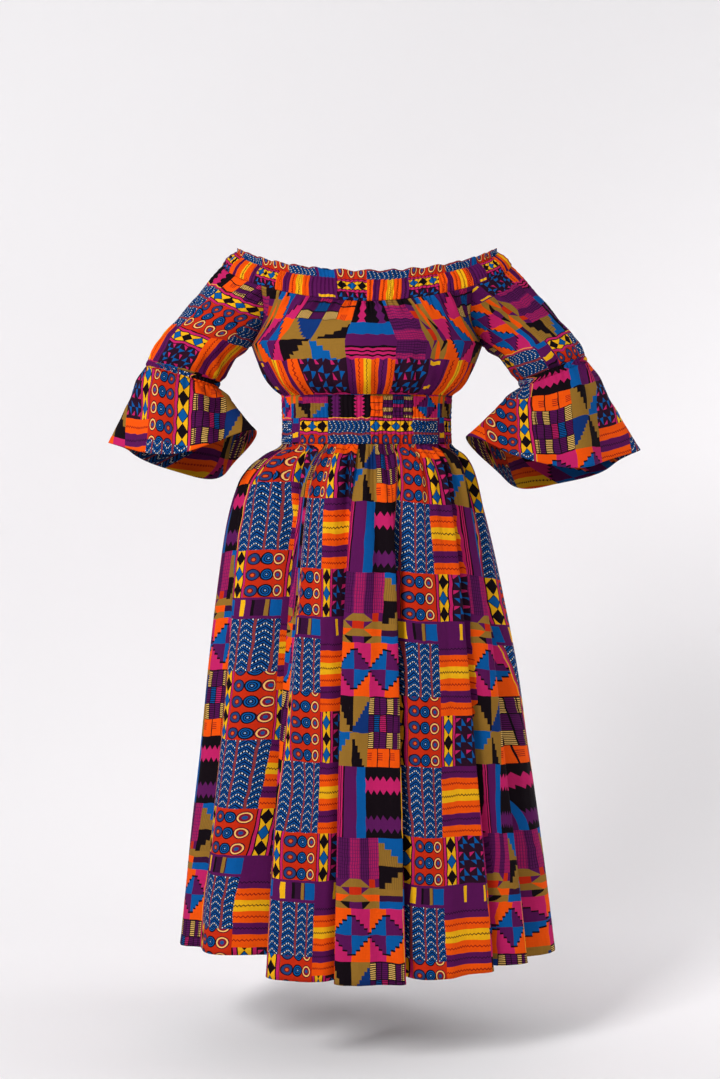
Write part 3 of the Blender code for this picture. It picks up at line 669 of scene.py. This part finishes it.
def sleeve_grid(sign, sections, loop):
    """The sleeve from armhole to elbow. Columns start at the underarm and run round the front."""
    top = EDGE_COLUMNS + SHOULDER_COLUMNS // 2
    along = np.concatenate([[0], np.cumsum(np.linalg.norm(np.diff(loop, axis=0), axis=1))])
    front = along[: top + 1] / along[top]
    back = (along[top + 1 :] - along[top]) / (along[-1] - along[top])
    turn = np.concatenate([0.5 * front, 0.5 + 0.5 * back])
    rings = [loop] + [section_ring(s, turn) for s in sleeve_side(sections, sign)]
    rows = np.linspace(0, 1, SLEEVE_ROWS + 1)
    grid = through(SLEEVE_SECTION_AT, np.stack(rings), rows)
    middle = through(SLEEVE_SECTION_AT, np.stack([ring.mean(axis=0) for ring in rings]), rows)
    out = unit(grid - middle[:, None])
    height = np.exp(-(((rows - SLEEVE_GATHERS_AT) / SLEEVE_GATHERS_SPREAD) ** 2))
    height = SLEEVE_GATHER_HEIGHT * height * smooth((1 - rows) / 0.07)
    waves = np.cos(2 * math.pi * SLEEVE_GATHERS * turn[None] + 1.2 * circling(turn, rows * 4, 41))
    fine = np.cos(2 * math.pi * SLEEVE_FINE_GATHERS * turn[None] + 2.0 * circling(turn, rows * 7, 42))
    near_elbow = np.exp(-(((1 - rows) / 0.12) ** 2)) * smooth((1 - rows) / 0.02)
    slack = circling(turn, rows * 5, 43) * np.sin(math.pi * rows)[:, None] * SLEEVE_SLACK
    swell = height[:, None] * waves + SLEEVE_FINE_HEIGHT * near_elbow[:, None] * fine + slack
    grid = grid + out * swell[..., None]
    run = turn[None] * np.linalg.norm(np.diff(grid[0], axis=0), axis=1).sum()
    shoulder = np.exp(-((rows / SHOULDER_SHIRRING_REACH) ** 2)) * smooth(rows / 0.02)
    over = smooth((turn - 0.06) / 0.08) * smooth((0.94 - turn) / 0.08)
    ribs = shirring(run, lengths_along(grid, 0), SHOULDER_SHIRRING * shoulder[:, None] * over)
    return grid + out * ribs[..., None], turn


def circling(turn, down, seed):
    """Noise over a sleeve that joins up with itself."""
    at = 2 * math.pi * np.asarray(turn)[None]
    down = np.atleast_1d(down)[:, None]
    return (noise(1.9 * np.cos(at) + 20, down + 1.9 * np.sin(at), seed)
            + noise(4.1 * np.cos(at) + 40, 1.7 * down + 4.1 * np.sin(at), seed + 50)) / 1.5


def elbow_edge(sign, sections, turn, down):
    """The sleeve's lowest ring, moved down along the arm."""
    centre, half_out, half_forward = sleeve_side(sections, sign)[-1]
    axis = unit(np.cross(half_out, half_forward)) * sign
    return section_ring((centre + axis * down, half_out, half_forward), turn)


def flounce_grid(sign, sections, hem_points, turn, rows):
    """The flounce from the casing to its hem, with columns as on the sleeve."""
    top = elbow_edge(sign, sections, turn, ELBOW_BAND_WIDTH)
    places = np.arange(len(hem_points)) / len(hem_points)
    hem = through(places, np.array(hem_points) * [sign, 1, 1], turn % 1.0, closed_over=1.0)
    out = unit(hem - hem[:-1].mean(axis=0))
    at = 2 * math.pi * turn
    wander = 1.5 * circling(turn, 3.0, 61)[0]
    made = []
    for t in rows:
        puff = FLOUNCE_PUFF * math.sin(math.pi * min(1.0, t / FLOUNCE_PUFF_ENDS)) ** 2
        waves = FLOUNCE_WAVE_HEIGHT * t * np.cos(at * FLOUNCE_WAVES + FLOUNCE_WAVE_PHASE)
        closing = math.sin(math.pi * min(1.0, t / FLOUNCE_GATHERS_END))
        gathers = FLOUNCE_GATHER_HEIGHT * closing * np.cos(at * FLOUNCE_GATHERS)
        fine = FLOUNCE_FINE_HEIGHT * math.exp(-((t / 0.10) ** 2)) * smooth(t / 0.015)
        gathers = gathers + fine * np.cos(at * FLOUNCE_FINE_GATHERS + wander)
        slack = FLOUNCE_SLACK * math.sin(math.pi * min(1.0, t / 0.8)) * circling(turn, 4 * t, 62)[0]
        made.append(top + (hem - top) * t + out * (puff + waves + gathers + slack)[:, None])
    return np.stack(made)


def build_sleeve(side, sign, sections, hem_points, setting):
    """A sleeve, its elastic casing and its flounce."""
    elbow_x, elbow_scale, front_y, per_turn, flounce_top_y, flounce_scale = setting
    turned = sign < 0
    mid, turn = sleeve_grid(sign, sections, armhole_loop(sign))
    x = elbow_x - lengths_along(mid[::-1], 0)[::-1] * elbow_scale / CHART_UNIT
    y = front_y - sign * per_turn * (turn - 0.25)
    cloth(f"sleeve_{side}", mid, laid(x, y), "sleeve", True, turned)

    turn = np.linspace(0, 1, BAND_COLUMNS + 1)
    levels = np.linspace(0, 1, BAND_ROWS + 1)
    mid = np.stack([elbow_edge(sign, sections, turn, ELBOW_BAND_WIDTH * level) for level in levels])
    # A whole number of ribs goes round the band
    run = lengths_along(mid, 1)[:1]
    run = run * round(float(run[0, -1]) / SHIRRING_PITCH) * SHIRRING_PITCH / run[0, -1]
    ribs = 1.2 * SHIRRING_HEIGHT * np.cos(2 * math.pi * run / SHIRRING_PITCH)
    out = unit(mid - mid[:, :-1].mean(axis=1, keepdims=True))
    mid = mid + out * (ribs * np.sin(math.pi * levels)[:, None])[..., None]
    x = flounce_chart_x(side, mid, turn, sign)
    y = flounce_top_y + (1 - levels) * ELBOW_BAND_WIDTH / CHART_UNIT
    cloth(f"elbow_band_{side}", mid, laid(x, y[:, None]), "band", True, turned)

    turn = np.linspace(0, 1, FLOUNCE_COLUMNS + 1)
    mid = flounce_grid(sign, sections, hem_points, turn, np.linspace(0, 1, FLOUNCE_ROWS + 1))
    x = flounce_chart_x(side, mid, turn, sign)
    y = flounce_top_y - lengths_along(mid, 0) * flounce_scale / CHART_UNIT
    cloth(f"flounce_{side}", mid, laid(x, y), "flounce", True, turned, hem=True)


def flounce_chart_x(side, mid, turn, sign):
    """Columns of the flared flounce keep to the grain, counted both ways from its front."""
    run = lengths_along(mid, 1)
    front = int(np.argmin(np.abs(turn - 0.25)))
    return anchored(FLOUNCE_ANCHORS[side], sign * (run[:, front : front + 1] - run) / CHART_UNIT)


def skirt_oval(angle, z):
    return oval(angle, *section_at(SKIRT_OVALS, z), z)


def skirt_panel(folds, gathers, seed):
    """The grid of a skirt panel: gathers at the waist that fall into the folds of the hem."""
    knots = np.arange(len(folds))
    at = np.linspace(0, len(folds) - 1, SKIRT_COLUMNS + 1)
    hem_angle = np.radians(through(knots, [f[0] for f in folds], at))
    inward = through(knots, [f[1] / 1000 for f in folds], at)
    inward = inward * (1 + DEEP_FOLD_SHARE * smooth(inward / DEEP_FOLD))
    lift = through(knots, [f[2] / 1000 for f in folds], at)
    top, bottom = WAIST_BOTTOM, SKIRT_OVALS[-1][0]
    hem = skirt_oval(hem_angle, bottom) - outward(hem_angle) * inward[:, None]
    hem[:, 2] += lift
    along = np.concatenate([[0], np.cumsum(np.linalg.norm(np.diff(hem, axis=0), axis=1))])
    share = along / along[-1]
    waist_angle = hem_angle[0] + (hem_angle[-1] - hem_angle[0]) * share
    fade = smooth(np.minimum(share, 1 - share) / SIDE_SEAM_SHARE)
    step = np.linspace(0, 1, SKIRT_ROWS + 1)
    shares = SKIRT_ROW_EASE * step + (1 - SKIRT_ROW_EASE) * step**2
    rows = []
    for t in shares:
        z = top + (bottom - top) * t
        turned = 1 - (1 - t) ** FOLD_TURN_POWER
        angle = waist_angle + (hem_angle - waist_angle) * turned
        mid = skirt_oval(angle, z)
        mid[:, 2] += lift * t
        depth = inward * t**FOLD_DEPTH_EASE
        below = (top - z) / GATHER_REACH
        gather = GATHER_HEIGHT * (SEAM_GATHER_SHARE + below * math.exp(1 - below))
        wander = 0.45 * noise(share * 14, t * 3, seed) * min(1.0, below)
        waves = np.cos(2 * math.pi * (gathers * share + wander)) * gather
        waves = waves * (1 + 0.4 * noise(share * 17, 9 + t * 5, seed + 1))
        fine = FINE_GATHER_HEIGHT * (0.25 + 2.0 * below * math.exp(1 - 2.0 * below))
        wander = 0.4 * noise(share * 30, t * 4, seed + 2)
        waves = waves + fine * np.cos(2 * math.pi * (gathers * 2.9 * share + wander))
        slack = SKIRT_SLACK * noise(share * 26, t * 4.5, seed + 3) * smooth(t / 0.2)
        rows.append(mid + outward(angle) * ((waves + slack) * fade - depth)[:, None])
    return np.stack(rows), at, shares


def build_waist_and_skirt():
    """The front and back of the elastic waist panel, then those of the skirt."""
    halves = {"front": (-math.pi / 2, math.pi / 2), "back": (math.pi / 2, 3 * math.pi / 2)}
    for side, (start, end) in halves.items():
        angle = np.linspace(start, end, WAIST_COLUMNS + 1)
        levels = np.linspace(0, 1, WAIST_ROWS + 1)
        heights = WAIST_TOP + (WAIST_BOTTOM - WAIST_TOP) * levels
        mid = np.stack([skirt_oval(angle, z) for z in heights])
        run, down = lengths_along(mid[:1], 1), lengths_along(mid, 0)
        strength = 0.9 + 0.3 * np.sin(math.pi * levels)[:, None]
        mid = mid + outward(angle)[None] * shirring(run, down, strength)[..., None]
        x = anchored(WAIST_CHART_X, levels)
        y = anchored(WAIST_ANCHORS, np.degrees(angle))
        cloth(f"waistband_{side}", mid, laid(x[:, None], y), "band")
    for side, folds, gathers, across, hem, seed in (
        ("front", FRONT_FOLDS, FRONT_GATHERS, SKIRT_FRONT_X, SKIRT_FRONT_HEM, 71),
        ("back", BACK_FOLDS, BACK_GATHERS, SKIRT_BACK_X, SKIRT_BACK_HEM, 81),
    ):
        mid, at, shares = skirt_panel(folds, gathers, seed)
        shares = np.clip(shares, SKIRT_X_AT[0], SKIRT_X_AT[-1])
        lines = np.stack([through(SKIRT_X_AT, values, shares, held=True) for _, *values in across], 1)
        x = np.stack([np.interp(at, [fold for fold, *_ in across], line) for line in lines])
        above_hem = lengths_along(mid[::-1], 0)[::-1]
        y = anchored(hem, at) - above_hem * SKIRT_CHART_SCALE / CHART_UNIT
        cloth(f"skirt_{side}", mid, np.stack([x, y], -1), "skirt", hem=True)


def linear(colour):
    """A colour given as sRGB from 0 to 255."""
    share = np.array(colour) / 255
    return (*np.where(share <= 0.04045, share / 12.92, ((share + 0.055) / 1.055) ** 2.4), 1.0)


PURPLE = (82, 18, 76)
ORANGE = (226, 78, 8)
RED = (184, 40, 14)
YELLOW = (226, 166, 20)
BLUE = (6, 80, 146)
DARK_BLUE = (14, 46, 104)
NAVY = (8, 15, 44)
BLACK = (17, 9, 15)
PINK = (180, 30, 92)
KHAKI = (138, 100, 38)
CREAM = (236, 180, 100)
WHITE = (206, 212, 222)
DUSK = (44, 10, 44)
PLUM = (50, 14, 50)

# The print's repeat and the place where its right half starts, in chart units
REPEAT_WIDTH, REPEAT_HEIGHT = 172.0, 265.0
RIGHT_HALF = 98.0


def feed(place, value):
    """Sets a node's input to a number or colour, or links a field or another node's output to it."""
    if isinstance(value, tuple):
        place.default_value = linear(value)
    elif isinstance(value, (int, float)):
        place.default_value = value
    else:
        Field.tree.links.new(getattr(value, "socket", value), place)


def arithmetic(operation, turned=False):
    """A method of Field that adds one Math node."""
    def method(*values):
        return Field.made(operation, *(values[::-1] if turned else values))
    return method


class Field:
    """A number at each place of the cloth. Arithmetic on it adds Math nodes to the print's tree."""

    tree = None

    def __init__(self, socket):
        self.socket = socket

    @classmethod
    def made(cls, operation, *values):
        node = cls.tree.nodes.new("ShaderNodeMath")
        node.operation = operation
        for place, value in zip(node.inputs, values):
            feed(place, value)
        return cls(node.outputs[0])

    __add__ = arithmetic("ADD")
    __radd__ = arithmetic("ADD", turned=True)
    __sub__ = arithmetic("SUBTRACT")
    __rsub__ = arithmetic("SUBTRACT", turned=True)
    __mul__ = arithmetic("MULTIPLY")
    __rmul__ = arithmetic("MULTIPLY", turned=True)
    __truediv__ = arithmetic("DIVIDE")
    __mod__ = arithmetic("FLOORED_MODULO")
    __abs__ = arithmetic("ABSOLUTE")
    __lt__ = arithmetic("LESS_THAN")
    __gt__ = arithmetic("GREATER_THAN")
    floor = arithmetic("FLOOR")
    sine = arithmetic("SINE")
    root = arithmetic("SQRT")
    at_most = arithmetic("MINIMUM")
    near = arithmetic("COMPARE")

    def within(self, low, high):
        """1 from low to high, else 0."""
        return self.near((low + high) / 2, (high - low) / 2)

    def zigzag(self, pitch):
        """0 at each multiple of pitch, 1 half way between them."""
        return Field.made("PINGPONG", self, pitch / 2) * (2 / pitch)


def either(a, b):
    return Field.made("MAXIMUM", a, b)


def mixed(under, over, mask, blend="MIX"):
    """The colour over where mask is 1, and under elsewhere."""
    node = Field.tree.nodes.new("ShaderNodeMix")
    node.data_type = "RGBA"
    node.blend_type = blend
    for number, value in ((0, mask), (6, under), (7, over)):
        feed(node.inputs[number], value)
    return node.outputs[2]


def striped(at, whole, stops):
    """Flat colours along at, each from its own start to the next one's."""
    node = Field.tree.nodes.new("ShaderNodeValToRGB")
    ramp = node.color_ramp
    ramp.interpolation = "CONSTANT"
    ramp.elements.remove(ramp.elements[1])
    for number, (start, colour) in enumerate(stops):
        element = ramp.elements.new(start / whole) if number else ramp.elements[0]
        element.position = start / whole
        element.color = linear(colour)
    feed(node.inputs[0], at / whole)
    return node.outputs[0]


def chevrons(x, y):
    """Blue columns with rows of white squares that bend down at both sides."""
    across = (x - 2.2) % 14.6 - 7.3
    side = abs(across)
    row = (y + 41.5 - side * 0.85) % 7.4
    dots = row.within(0.35, 1.65) * (across % 2.09).within(0.35, 1.3)
    lines = either(either(row < 2.6, row > 6.9), row.within(4.0, 5.4))
    blue = mixed(mixed((6, 68, 132), NAVY, lines), WHITE, dots)
    made = mixed(blue, (128, 48, 52), side > 6.2)
    return mixed(made, striped(x, 2.2, [(0.0, YELLOW), (0.8, PINK)]), x < 2.2)


def bands(x, y):
    """Stripes across the repeat, each with a wavy line along its middle."""
    pitch = 11.9
    stripes = [PURPLE, ORANGE, YELLOW, ORANGE, PURPLE, ORANGE]
    brick = (140, 24, 12)
    lines = [DUSK, brick, (70, 40, 20), brick, DUSK, brick]
    ground, line = (
        striped(y, 72.0, [(number * pitch, colour) for number, colour in enumerate(row)])
        for row in (stripes, lines)
    )
    wave = (y % pitch - pitch / 2 + x.zigzag(2.8) * 1.7).near(0.85, 0.6)
    return mixed(ground, line, wave)


def strips(x):
    """Pink and black pinstripes beside plain purple and blue."""
    pins = [(0, PINK), (2.0, BLACK), (3.4, PINK), (5.4, BLACK), (6.8, PINK), (9.0, BLACK)]
    return striped(x - RIGHT_HALF, 35.0, pins + [(11, PURPLE), (24, BLUE)])


def ikat(x, y):
    """A pink and a purple band with toothed edges, on black."""
    teeth = x.zigzag(6.8)
    pink = abs(y - 18.5) < 4.0 + teeth * 5.0
    purple = abs(y - 57.0) < 4.0 + teeth * 5.0
    return mixed(mixed(BLACK, (84, 22, 80), purple), PINK, pink)


def diamonds(x, row):
    """A yellow strip 18 wide between pink edges, with a black or blue diamond in each row."""
    edges = [(0, BLACK), (0.9, PINK), (3.2, BLACK), (4.2, YELLOW), (13.8, BLACK), (14.8, PINK)]
    ground = striped(x, 18.0, edges + [(17.1, BLACK)])
    reach = abs(x - 9.0) / 5.5 + abs(row % 16.2 - 8.1) / 8.1
    blue = (row / 32.4 % 1.0) > 0.5
    return mixed(ground, mixed(BLACK, BLUE, blue * (reach < 0.86)), reach < 1.0)


def circles(x, row):
    """Three columns of rings on a red ground, each column with colours of its own."""
    column = ((x - 17.85) / 12.1).floor()
    across = (x - 17.85) % 12.1 - 6.05
    down = (row - 0.8) % 16.2 - 8.1
    far = (across * across + down * down).root()
    rings = [
        (0, (206, 76, 28)), (1.6, (96, 16, 24)), (2.8, (30, 58, 108)), (5.1, (28, 12, 34)), (6.2, RED),
        (10, (120, 150, 190)), (10.8, NAVY), (12.0, BLUE), (12.9, NAVY), (13.9, BLUE), (15.0, BLACK),
        (16.2, RED), (20, (30, 72, 128)), (21.9, (120, 18, 40)), (24.0, CREAM), (25.3, (84, 14, 36)),
        (26.3, RED),
    ]
    return striped(far.at_most(9.9) + column * 10.0, 30.0, rings)


def triangles(x, row):
    """Pink and blue triangles scattered in rows on a dark strip."""
    across, down = (x - 74.0) % 10.5, row % 16.2
    pink = (across / 5.0 + down / 4.6) < 1.0
    blue = (across > 5.5) * (down < 8.0) * ((across - 5.5) < down * 0.55)
    lower = (down > 8.4) * (down < 13.2) * ((across - 0.4) * 1.1 > down - 8.4) * (across < 5.2)
    return mixed(mixed((38, 14, 32), BLUE, either(blue, lower)), PINK, pink)


def plaid(x, y):
    """Magenta bars threaded with purple, between plain purple ones."""
    across = x - RIGHT_HALF
    threads = either((across % 2.45).within(0.0, 0.75), (y % 3.6).within(0.0, 0.5))
    plain, threaded = (
        striped(across, 49.0, [(0, bar), (4, gap), (17, bar), (28, gap), (38, bar)])
        for bar, gap in (((156, 26, 84), PURPLE), ((96, 24, 78), (52, 14, 52)))
    )
    return mixed(plain, threaded, threads)


def stairs(x, row):
    """Blue stepped over khaki above black stepped over khaki, in a column 25 wide."""
    tread = ((x - 147.0) / 6.25).floor()
    khaki = mixed(KHAKI, (112, 82, 36), (x % 2.1).within(0.0, 0.6))
    blue = row < 4.0 + tread * 6.3
    black = (row > 27.0) * (row < 49.8 - tread * 5.8)
    return mixed(mixed(khaki, BLUE, blue), BLACK, black)


def small_bars(x, y):
    """The low row of purple with short yellow bars."""
    stops = [
        (0, BLUE), (6, PURPLE), (15, YELLOW), (20, PURPLE), (26, BLACK), (28.5, PLUM), (36.5, KHAKI),
        (40.5, PLUM), (41.5, BLUE), (55.4, PURPLE), (78, YELLOW), (80.4, PURPLE), (94, YELLOW),
        (96.4, PURPLE),
    ]
    return mixed(PURPLE, striped(x, RIGHT_HALF, stops), y.within(121.5, 138.0))


def hexagons(x, y):
    """Khaki shapes whose sides run in and out, with red hearts."""
    side = abs(x - 121.0)
    row = y - 112.0
    reach = 5.5 + row.zigzag(15.4) * 9.7
    rows = ((KHAKI, PURPLE, KHAKI, BLACK), (PURPLE, KHAKI, ORANGE, KHAKI), (KHAKI, RED, KHAKI, PURPLE))
    inner, outer, heart = (
        striped(row, 29.6, list(zip((0, 8, 15.5, 22.5), colours))) for colours in rows
    )
    made = mixed(mixed(outer, inner, side < reach), heart, side < 6.0)
    made = mixed(made, RED, x.within(135.5, 142.5) * y.within(112.0, 120.5))
    right = striped(row, 29.6, [(0, PURPLE), (8, KHAKI), (16, PLUM), (22, BLUE)])
    return mixed(made, right, x > 147.0)


def quarters(x, y):
    """Stepped lozenges in four parts, on orange and pink."""
    across, down = (x - RIGHT_HALF) % 37.0 - 18.5, y - 168.0
    alike = (across * down) > 0.0
    reach = (abs(across) / 4.1).floor() * 4.3 + abs(down)
    ground = mixed(mixed(PINK, ORANGE, alike), BLACK, reach < 20.4)
    return mixed(ground, mixed(PURPLE, BLUE, alike), reach < 18.6)


def stepped_fields(x, y):
    """Four blocks of khaki stepped against black or blue."""
    across, down = x - RIGHT_HALF, y - 195.0
    right, low = x > 116.5, y > 231.0
    part = across - right * 18.5
    top_left = down < 10.4 + (part / 3.85).floor() * 6.2
    top_right = down > 29.5 - (part / 2.63).floor() * 4.0
    depth = down - 36.0
    low_left = depth < 25.5 - ((part + 3.6) / 4.9).floor() * 6.2
    low_right = depth > 6.7 + (part / 3.0).floor() * 6.4
    upper = mixed(mixed(KHAKI, BLACK, top_left), mixed(KHAKI, DARK_BLUE, top_right), right)
    lower = mixed(mixed(KHAKI, BLUE, low_left), mixed(KHAKI, BLACK, low_right), right)
    return mixed(upper, lower, low)


def ladders(x, y):
    """Blocks of purple and of khaki rungs, three high, over orange combs."""
    across, down = x - 135.0, y - 195.0
    rungs = (down % 2.0) < 0.95
    pale, wine, grape = (220, 176, 96), (90, 12, 50), (58, 14, 58)
    # Colours between and on the rungs, of the outer blocks and then of the middle ones
    gaps, on_rungs, middle_gaps, on_middle = (
        striped(across, 37.0, list(zip((0, 6.7, 13.7, 20.4, 27.2, 33), colours)))
        for colours in (
            (BLACK, DUSK, grape, BLACK, DUSK, BLACK),
            (pale, PURPLE, PURPLE, pale, PURPLE, pale),
            (DUSK, NAVY, wine, DUSK, grape, grape),
            (PURPLE, BLUE, PINK, PURPLE, PURPLE, PURPLE),
        )
    )
    outer, middle = mixed(gaps, on_rungs, rungs), mixed(middle_gaps, on_middle, rungs)
    made = mixed(outer, middle, down.within(17.5, 35.0))
    made = mixed(made, BLACK, either(((across + 0.6) % 6.85) < 1.0, (down % 17.5) < 0.9))
    teeth = down.within(55.0, 64.0) * rungs * ((across % 12.3) < 5.0)
    combs = mixed(mixed(ORANGE, (150, 34, 20), teeth), BLACK, (across % 12.3) > 11.2)
    return mixed(made, combs, down > 52.0)


def print_colour(chart_x, chart_y):
    """The whole repeat, in two halves whose rows break at different heights."""
    x, y = chart_x % REPEAT_WIDTH, chart_y % REPEAT_HEIGHT
    row = (y - 71.0) % REPEAT_HEIGHT
    block = y % 141.0
    second = y.within(71.0, 119.0)
    fifth = y > 195.0
    patterned = either(second, fifth)
    short = either(second, y > 214.0)
    made = chevrons(x, block)
    made = mixed(made, circles(x, row), patterned * x.within(17.0, 56.0))
    made = mixed(made, diamonds(x, row), patterned * (x < 17.6))
    made = mixed(made, bands(x, block), x.within(56.0, RIGHT_HALF))
    made = mixed(made, diamonds(x - 56.0, row), short * x.within(56.0, 74.0))
    made = mixed(made, triangles(x, row), short * x.within(74.0, RIGHT_HALF))
    made = mixed(made, small_bars(x, y), y.within(119.0, 141.0))
    half = mixed(strips(x), ikat(x, y), x > 133.0)
    half = mixed(half, mixed(plaid(x, y), stairs(x, y - 72.0), x > 147.0), y > 71.0)
    half = mixed(half, hexagons(x, y), y > (x > 147.0) * 10.0 + 112.0)
    half = mixed(half, quarters(x, y), y > 141.5)
    half = mixed(half, mixed(stepped_fields(x, y), ladders(x, y), x > 135.0), fifth)
    return mixed(made, half, x > RIGHT_HALF)


def cloudy(u, v):
    """Soft noise from 0 to 1 over a plane."""
    place = Field.tree.nodes.new("ShaderNodeCombineXYZ")
    feed(place.inputs[0], u)
    feed(place.inputs[1], v)
    texture = Field.tree.nodes.new("ShaderNodeTexNoise")
    feed(texture.inputs["Scale"], 1.0)
    feed(texture.inputs["Vector"], place.outputs[0])
    return Field(texture.outputs[0])


def new_material(name, roughness):
    """A material and its shader. The nodes that are added next go into its tree."""
    material = bpy.data.materials.new(name)
    material.use_nodes = True
    Field.tree = material.node_tree
    shader = Field.tree.nodes["Principled BSDF"]
    shader.inputs["Roughness"].default_value = roughness
    return material, shader


def make_print():
    """Waxed cotton: the print, a little uneven dyeing, and the weave. The inner side is drawn darker: a
    little for the wrong side's duller print, mostly painted shade.
    """
    material, shader = new_material("wax_print", 0.85)
    nodes = Field.tree.nodes
    chart = nodes.new("ShaderNodeUVMap")
    chart.uv_map = "cloth"
    apart = nodes.new("ShaderNodeSeparateXYZ")
    feed(apart.inputs[0], chart.outputs[0])
    x, y = Field(apart.outputs[0]), Field(apart.outputs[1])
    threads = cloudy(x * 1.3, y * 0.08) + cloudy(x * 0.08, y * 1.3)
    dye_and_shade = 0.72 + cloudy(x * 0.05, y * 0.05) * 0.16 + threads * 0.20
    # The inner side drawn darker: a little for the wrong side's duller print, mostly painted shade
    side = nodes.new("ShaderNodeAttribute")
    side.attribute_name = "shaded_inner_side"
    dye_and_shade = dye_and_shade * (1 - Field(side.outputs["Fac"]) * INNER_SIDE_DULLING_AND_SHADE)
    feed(shader.inputs["Base Color"], mixed(print_colour(x, y), dye_and_shade, 1.0, "MULTIPLY"))
    weave = (x * WEAVE_TURN).sine() * (y * WEAVE_TURN).sine()
    bump = nodes.new("ShaderNodeBump")
    feed(bump.inputs["Strength"], 0.45)
    feed(bump.inputs["Distance"], 0.00015)
    feed(bump.inputs["Height"], weave * 0.5 + threads)
    feed(shader.inputs["Normal"], bump.outputs[0])
    shader.inputs["Specular IOR Level"].default_value = 0.05
    return material


def build_stage():
    """A pale floor that runs up into the backdrop in one sweep, and doesn't show from behind or below."""
    floor_z, reach, bend, height = -1.478, 6.0, 0.9, 5.0
    back = 0.75
    profile = [(-reach, floor_z), (back, floor_z)]
    for step in range(1, 13):
        turn = math.pi / 2 * step / 12
        profile.append((back + bend * math.sin(turn), floor_z + bend * (1 - math.cos(turn))))
    profile.append((back + bend, height))
    points = [(x, y, z) for x in (-reach, reach) for y, z in profile]
    count = len(profile)
    faces = [(k + 1, k, count + k, count + k + 1) for k in range(count - 1)]
    mesh = bpy.data.meshes.new("sweep")
    mesh.from_pydata(points, [], faces)
    mesh.shade_smooth()
    material, shader = new_material("backdrop_paper", 0.9)
    shader.inputs["Base Color"].default_value = (0.88, 0.865, 0.88, 1.0)
    nodes = Field.tree.nodes
    one_sided = nodes.new("ShaderNodeMixShader")
    feed(one_sided.inputs[0], nodes.new("ShaderNodeNewGeometry").outputs["Backfacing"])
    feed(one_sided.inputs[1], shader.outputs[0])
    feed(one_sided.inputs[2], nodes.new("ShaderNodeBsdfTransparent").outputs[0])
    feed(nodes["Material Output"].inputs["Surface"], one_sided.outputs[0])
    mesh.materials.append(material)
    sweep = bpy.data.objects.new("sweep", mesh)
    bpy.context.scene.collection.objects.link(sweep)


def add_light(name, place, target, size, power, spread=180):
    """A softbox. Below 180 degrees of spread it has a grid in front, which narrows its pool of light."""
    light = bpy.data.lights.new(name, "AREA")
    light.shape = "RECTANGLE"
    light.size, light.size_y = size
    light.energy = power
    light.spread = math.radians(spread)
    lamp = bpy.data.objects.new(name, light)
    lamp.location = place
    to_target = np.array(target) - np.array(place)
    level = math.hypot(to_target[0], to_target[1])
    lamp.rotation_euler = (math.atan2(level, -to_target[2]), 0.0, math.atan2(-to_target[0], to_target[1]))
    bpy.context.scene.collection.objects.link(lamp)


def build_lights():
    bpy.context.scene.view_settings.view_transform = "Standard"
    middle = (0.0, 0.0, -0.6)
    add_light("key", (-2.2, -2.9, 1.5), middle, (1.2, 1.6), 150.0)
    add_light("fill", (2.6, -3.0, 0.6), middle, (2.2, 2.2), 14.0)
    add_light("back_wash", (3.3, 0.2, 0.3), (0.3, 1.0, -1.3), (2.0, 1.4), 38.0)
    add_light("right_pool", (2.4, 0.5, 1.0), (0.55, 1.1, -1.25), (1.0, 1.0), 2.0, 60)
    add_light("left_pool", (-2.4, 0.5, 0.6), (-0.45, 0.8, -1.4), (1.0, 1.0), 0.9, 60)
    world = bpy.data.worlds.new("studio")
    world.use_nodes = True
    bpy.context.scene.world = world
    background = world.node_tree.nodes["Background"]
    background.inputs["Color"].default_value = (1.0, 1.0, 1.0, 1.0)
    background.inputs["Strength"].default_value = 0.24


def build_camera():
    """At waist height, tilted a little down, so that the picture's frame is the photograph's."""
    camera = bpy.data.cameras.new("camera")
    camera.sensor_fit = "VERTICAL"
    camera.sensor_height = SENSOR_HEIGHT
    camera.lens = SENSOR_HEIGHT * FOCAL_PIXELS / PICTURE_PIXELS
    seat = bpy.data.objects.new("camera", camera)
    seat.location = (-0.013, -3.5, -0.338)
    seat.rotation_euler = (math.pi / 2 - math.atan(TILT_PIXELS / FOCAL_PIXELS), 0.0, 0.0)
    bpy.context.scene.collection.objects.link(seat)
    bpy.context.scene.camera = seat


WAX_PRINT = make_print()
build_camera()
build_stage()
build_lights()
build_neck_bands()
build_bodice()
build_sleeve("right", 1, SLEEVE_RIGHT, FLOUNCE_HEM_RIGHT, SLEEVE_PRINT["right"])
build_sleeve("left", -1, SLEEVE_LEFT, FLOUNCE_HEM_LEFT, SLEEVE_PRINT["left"])
build_waist_and_skirt()
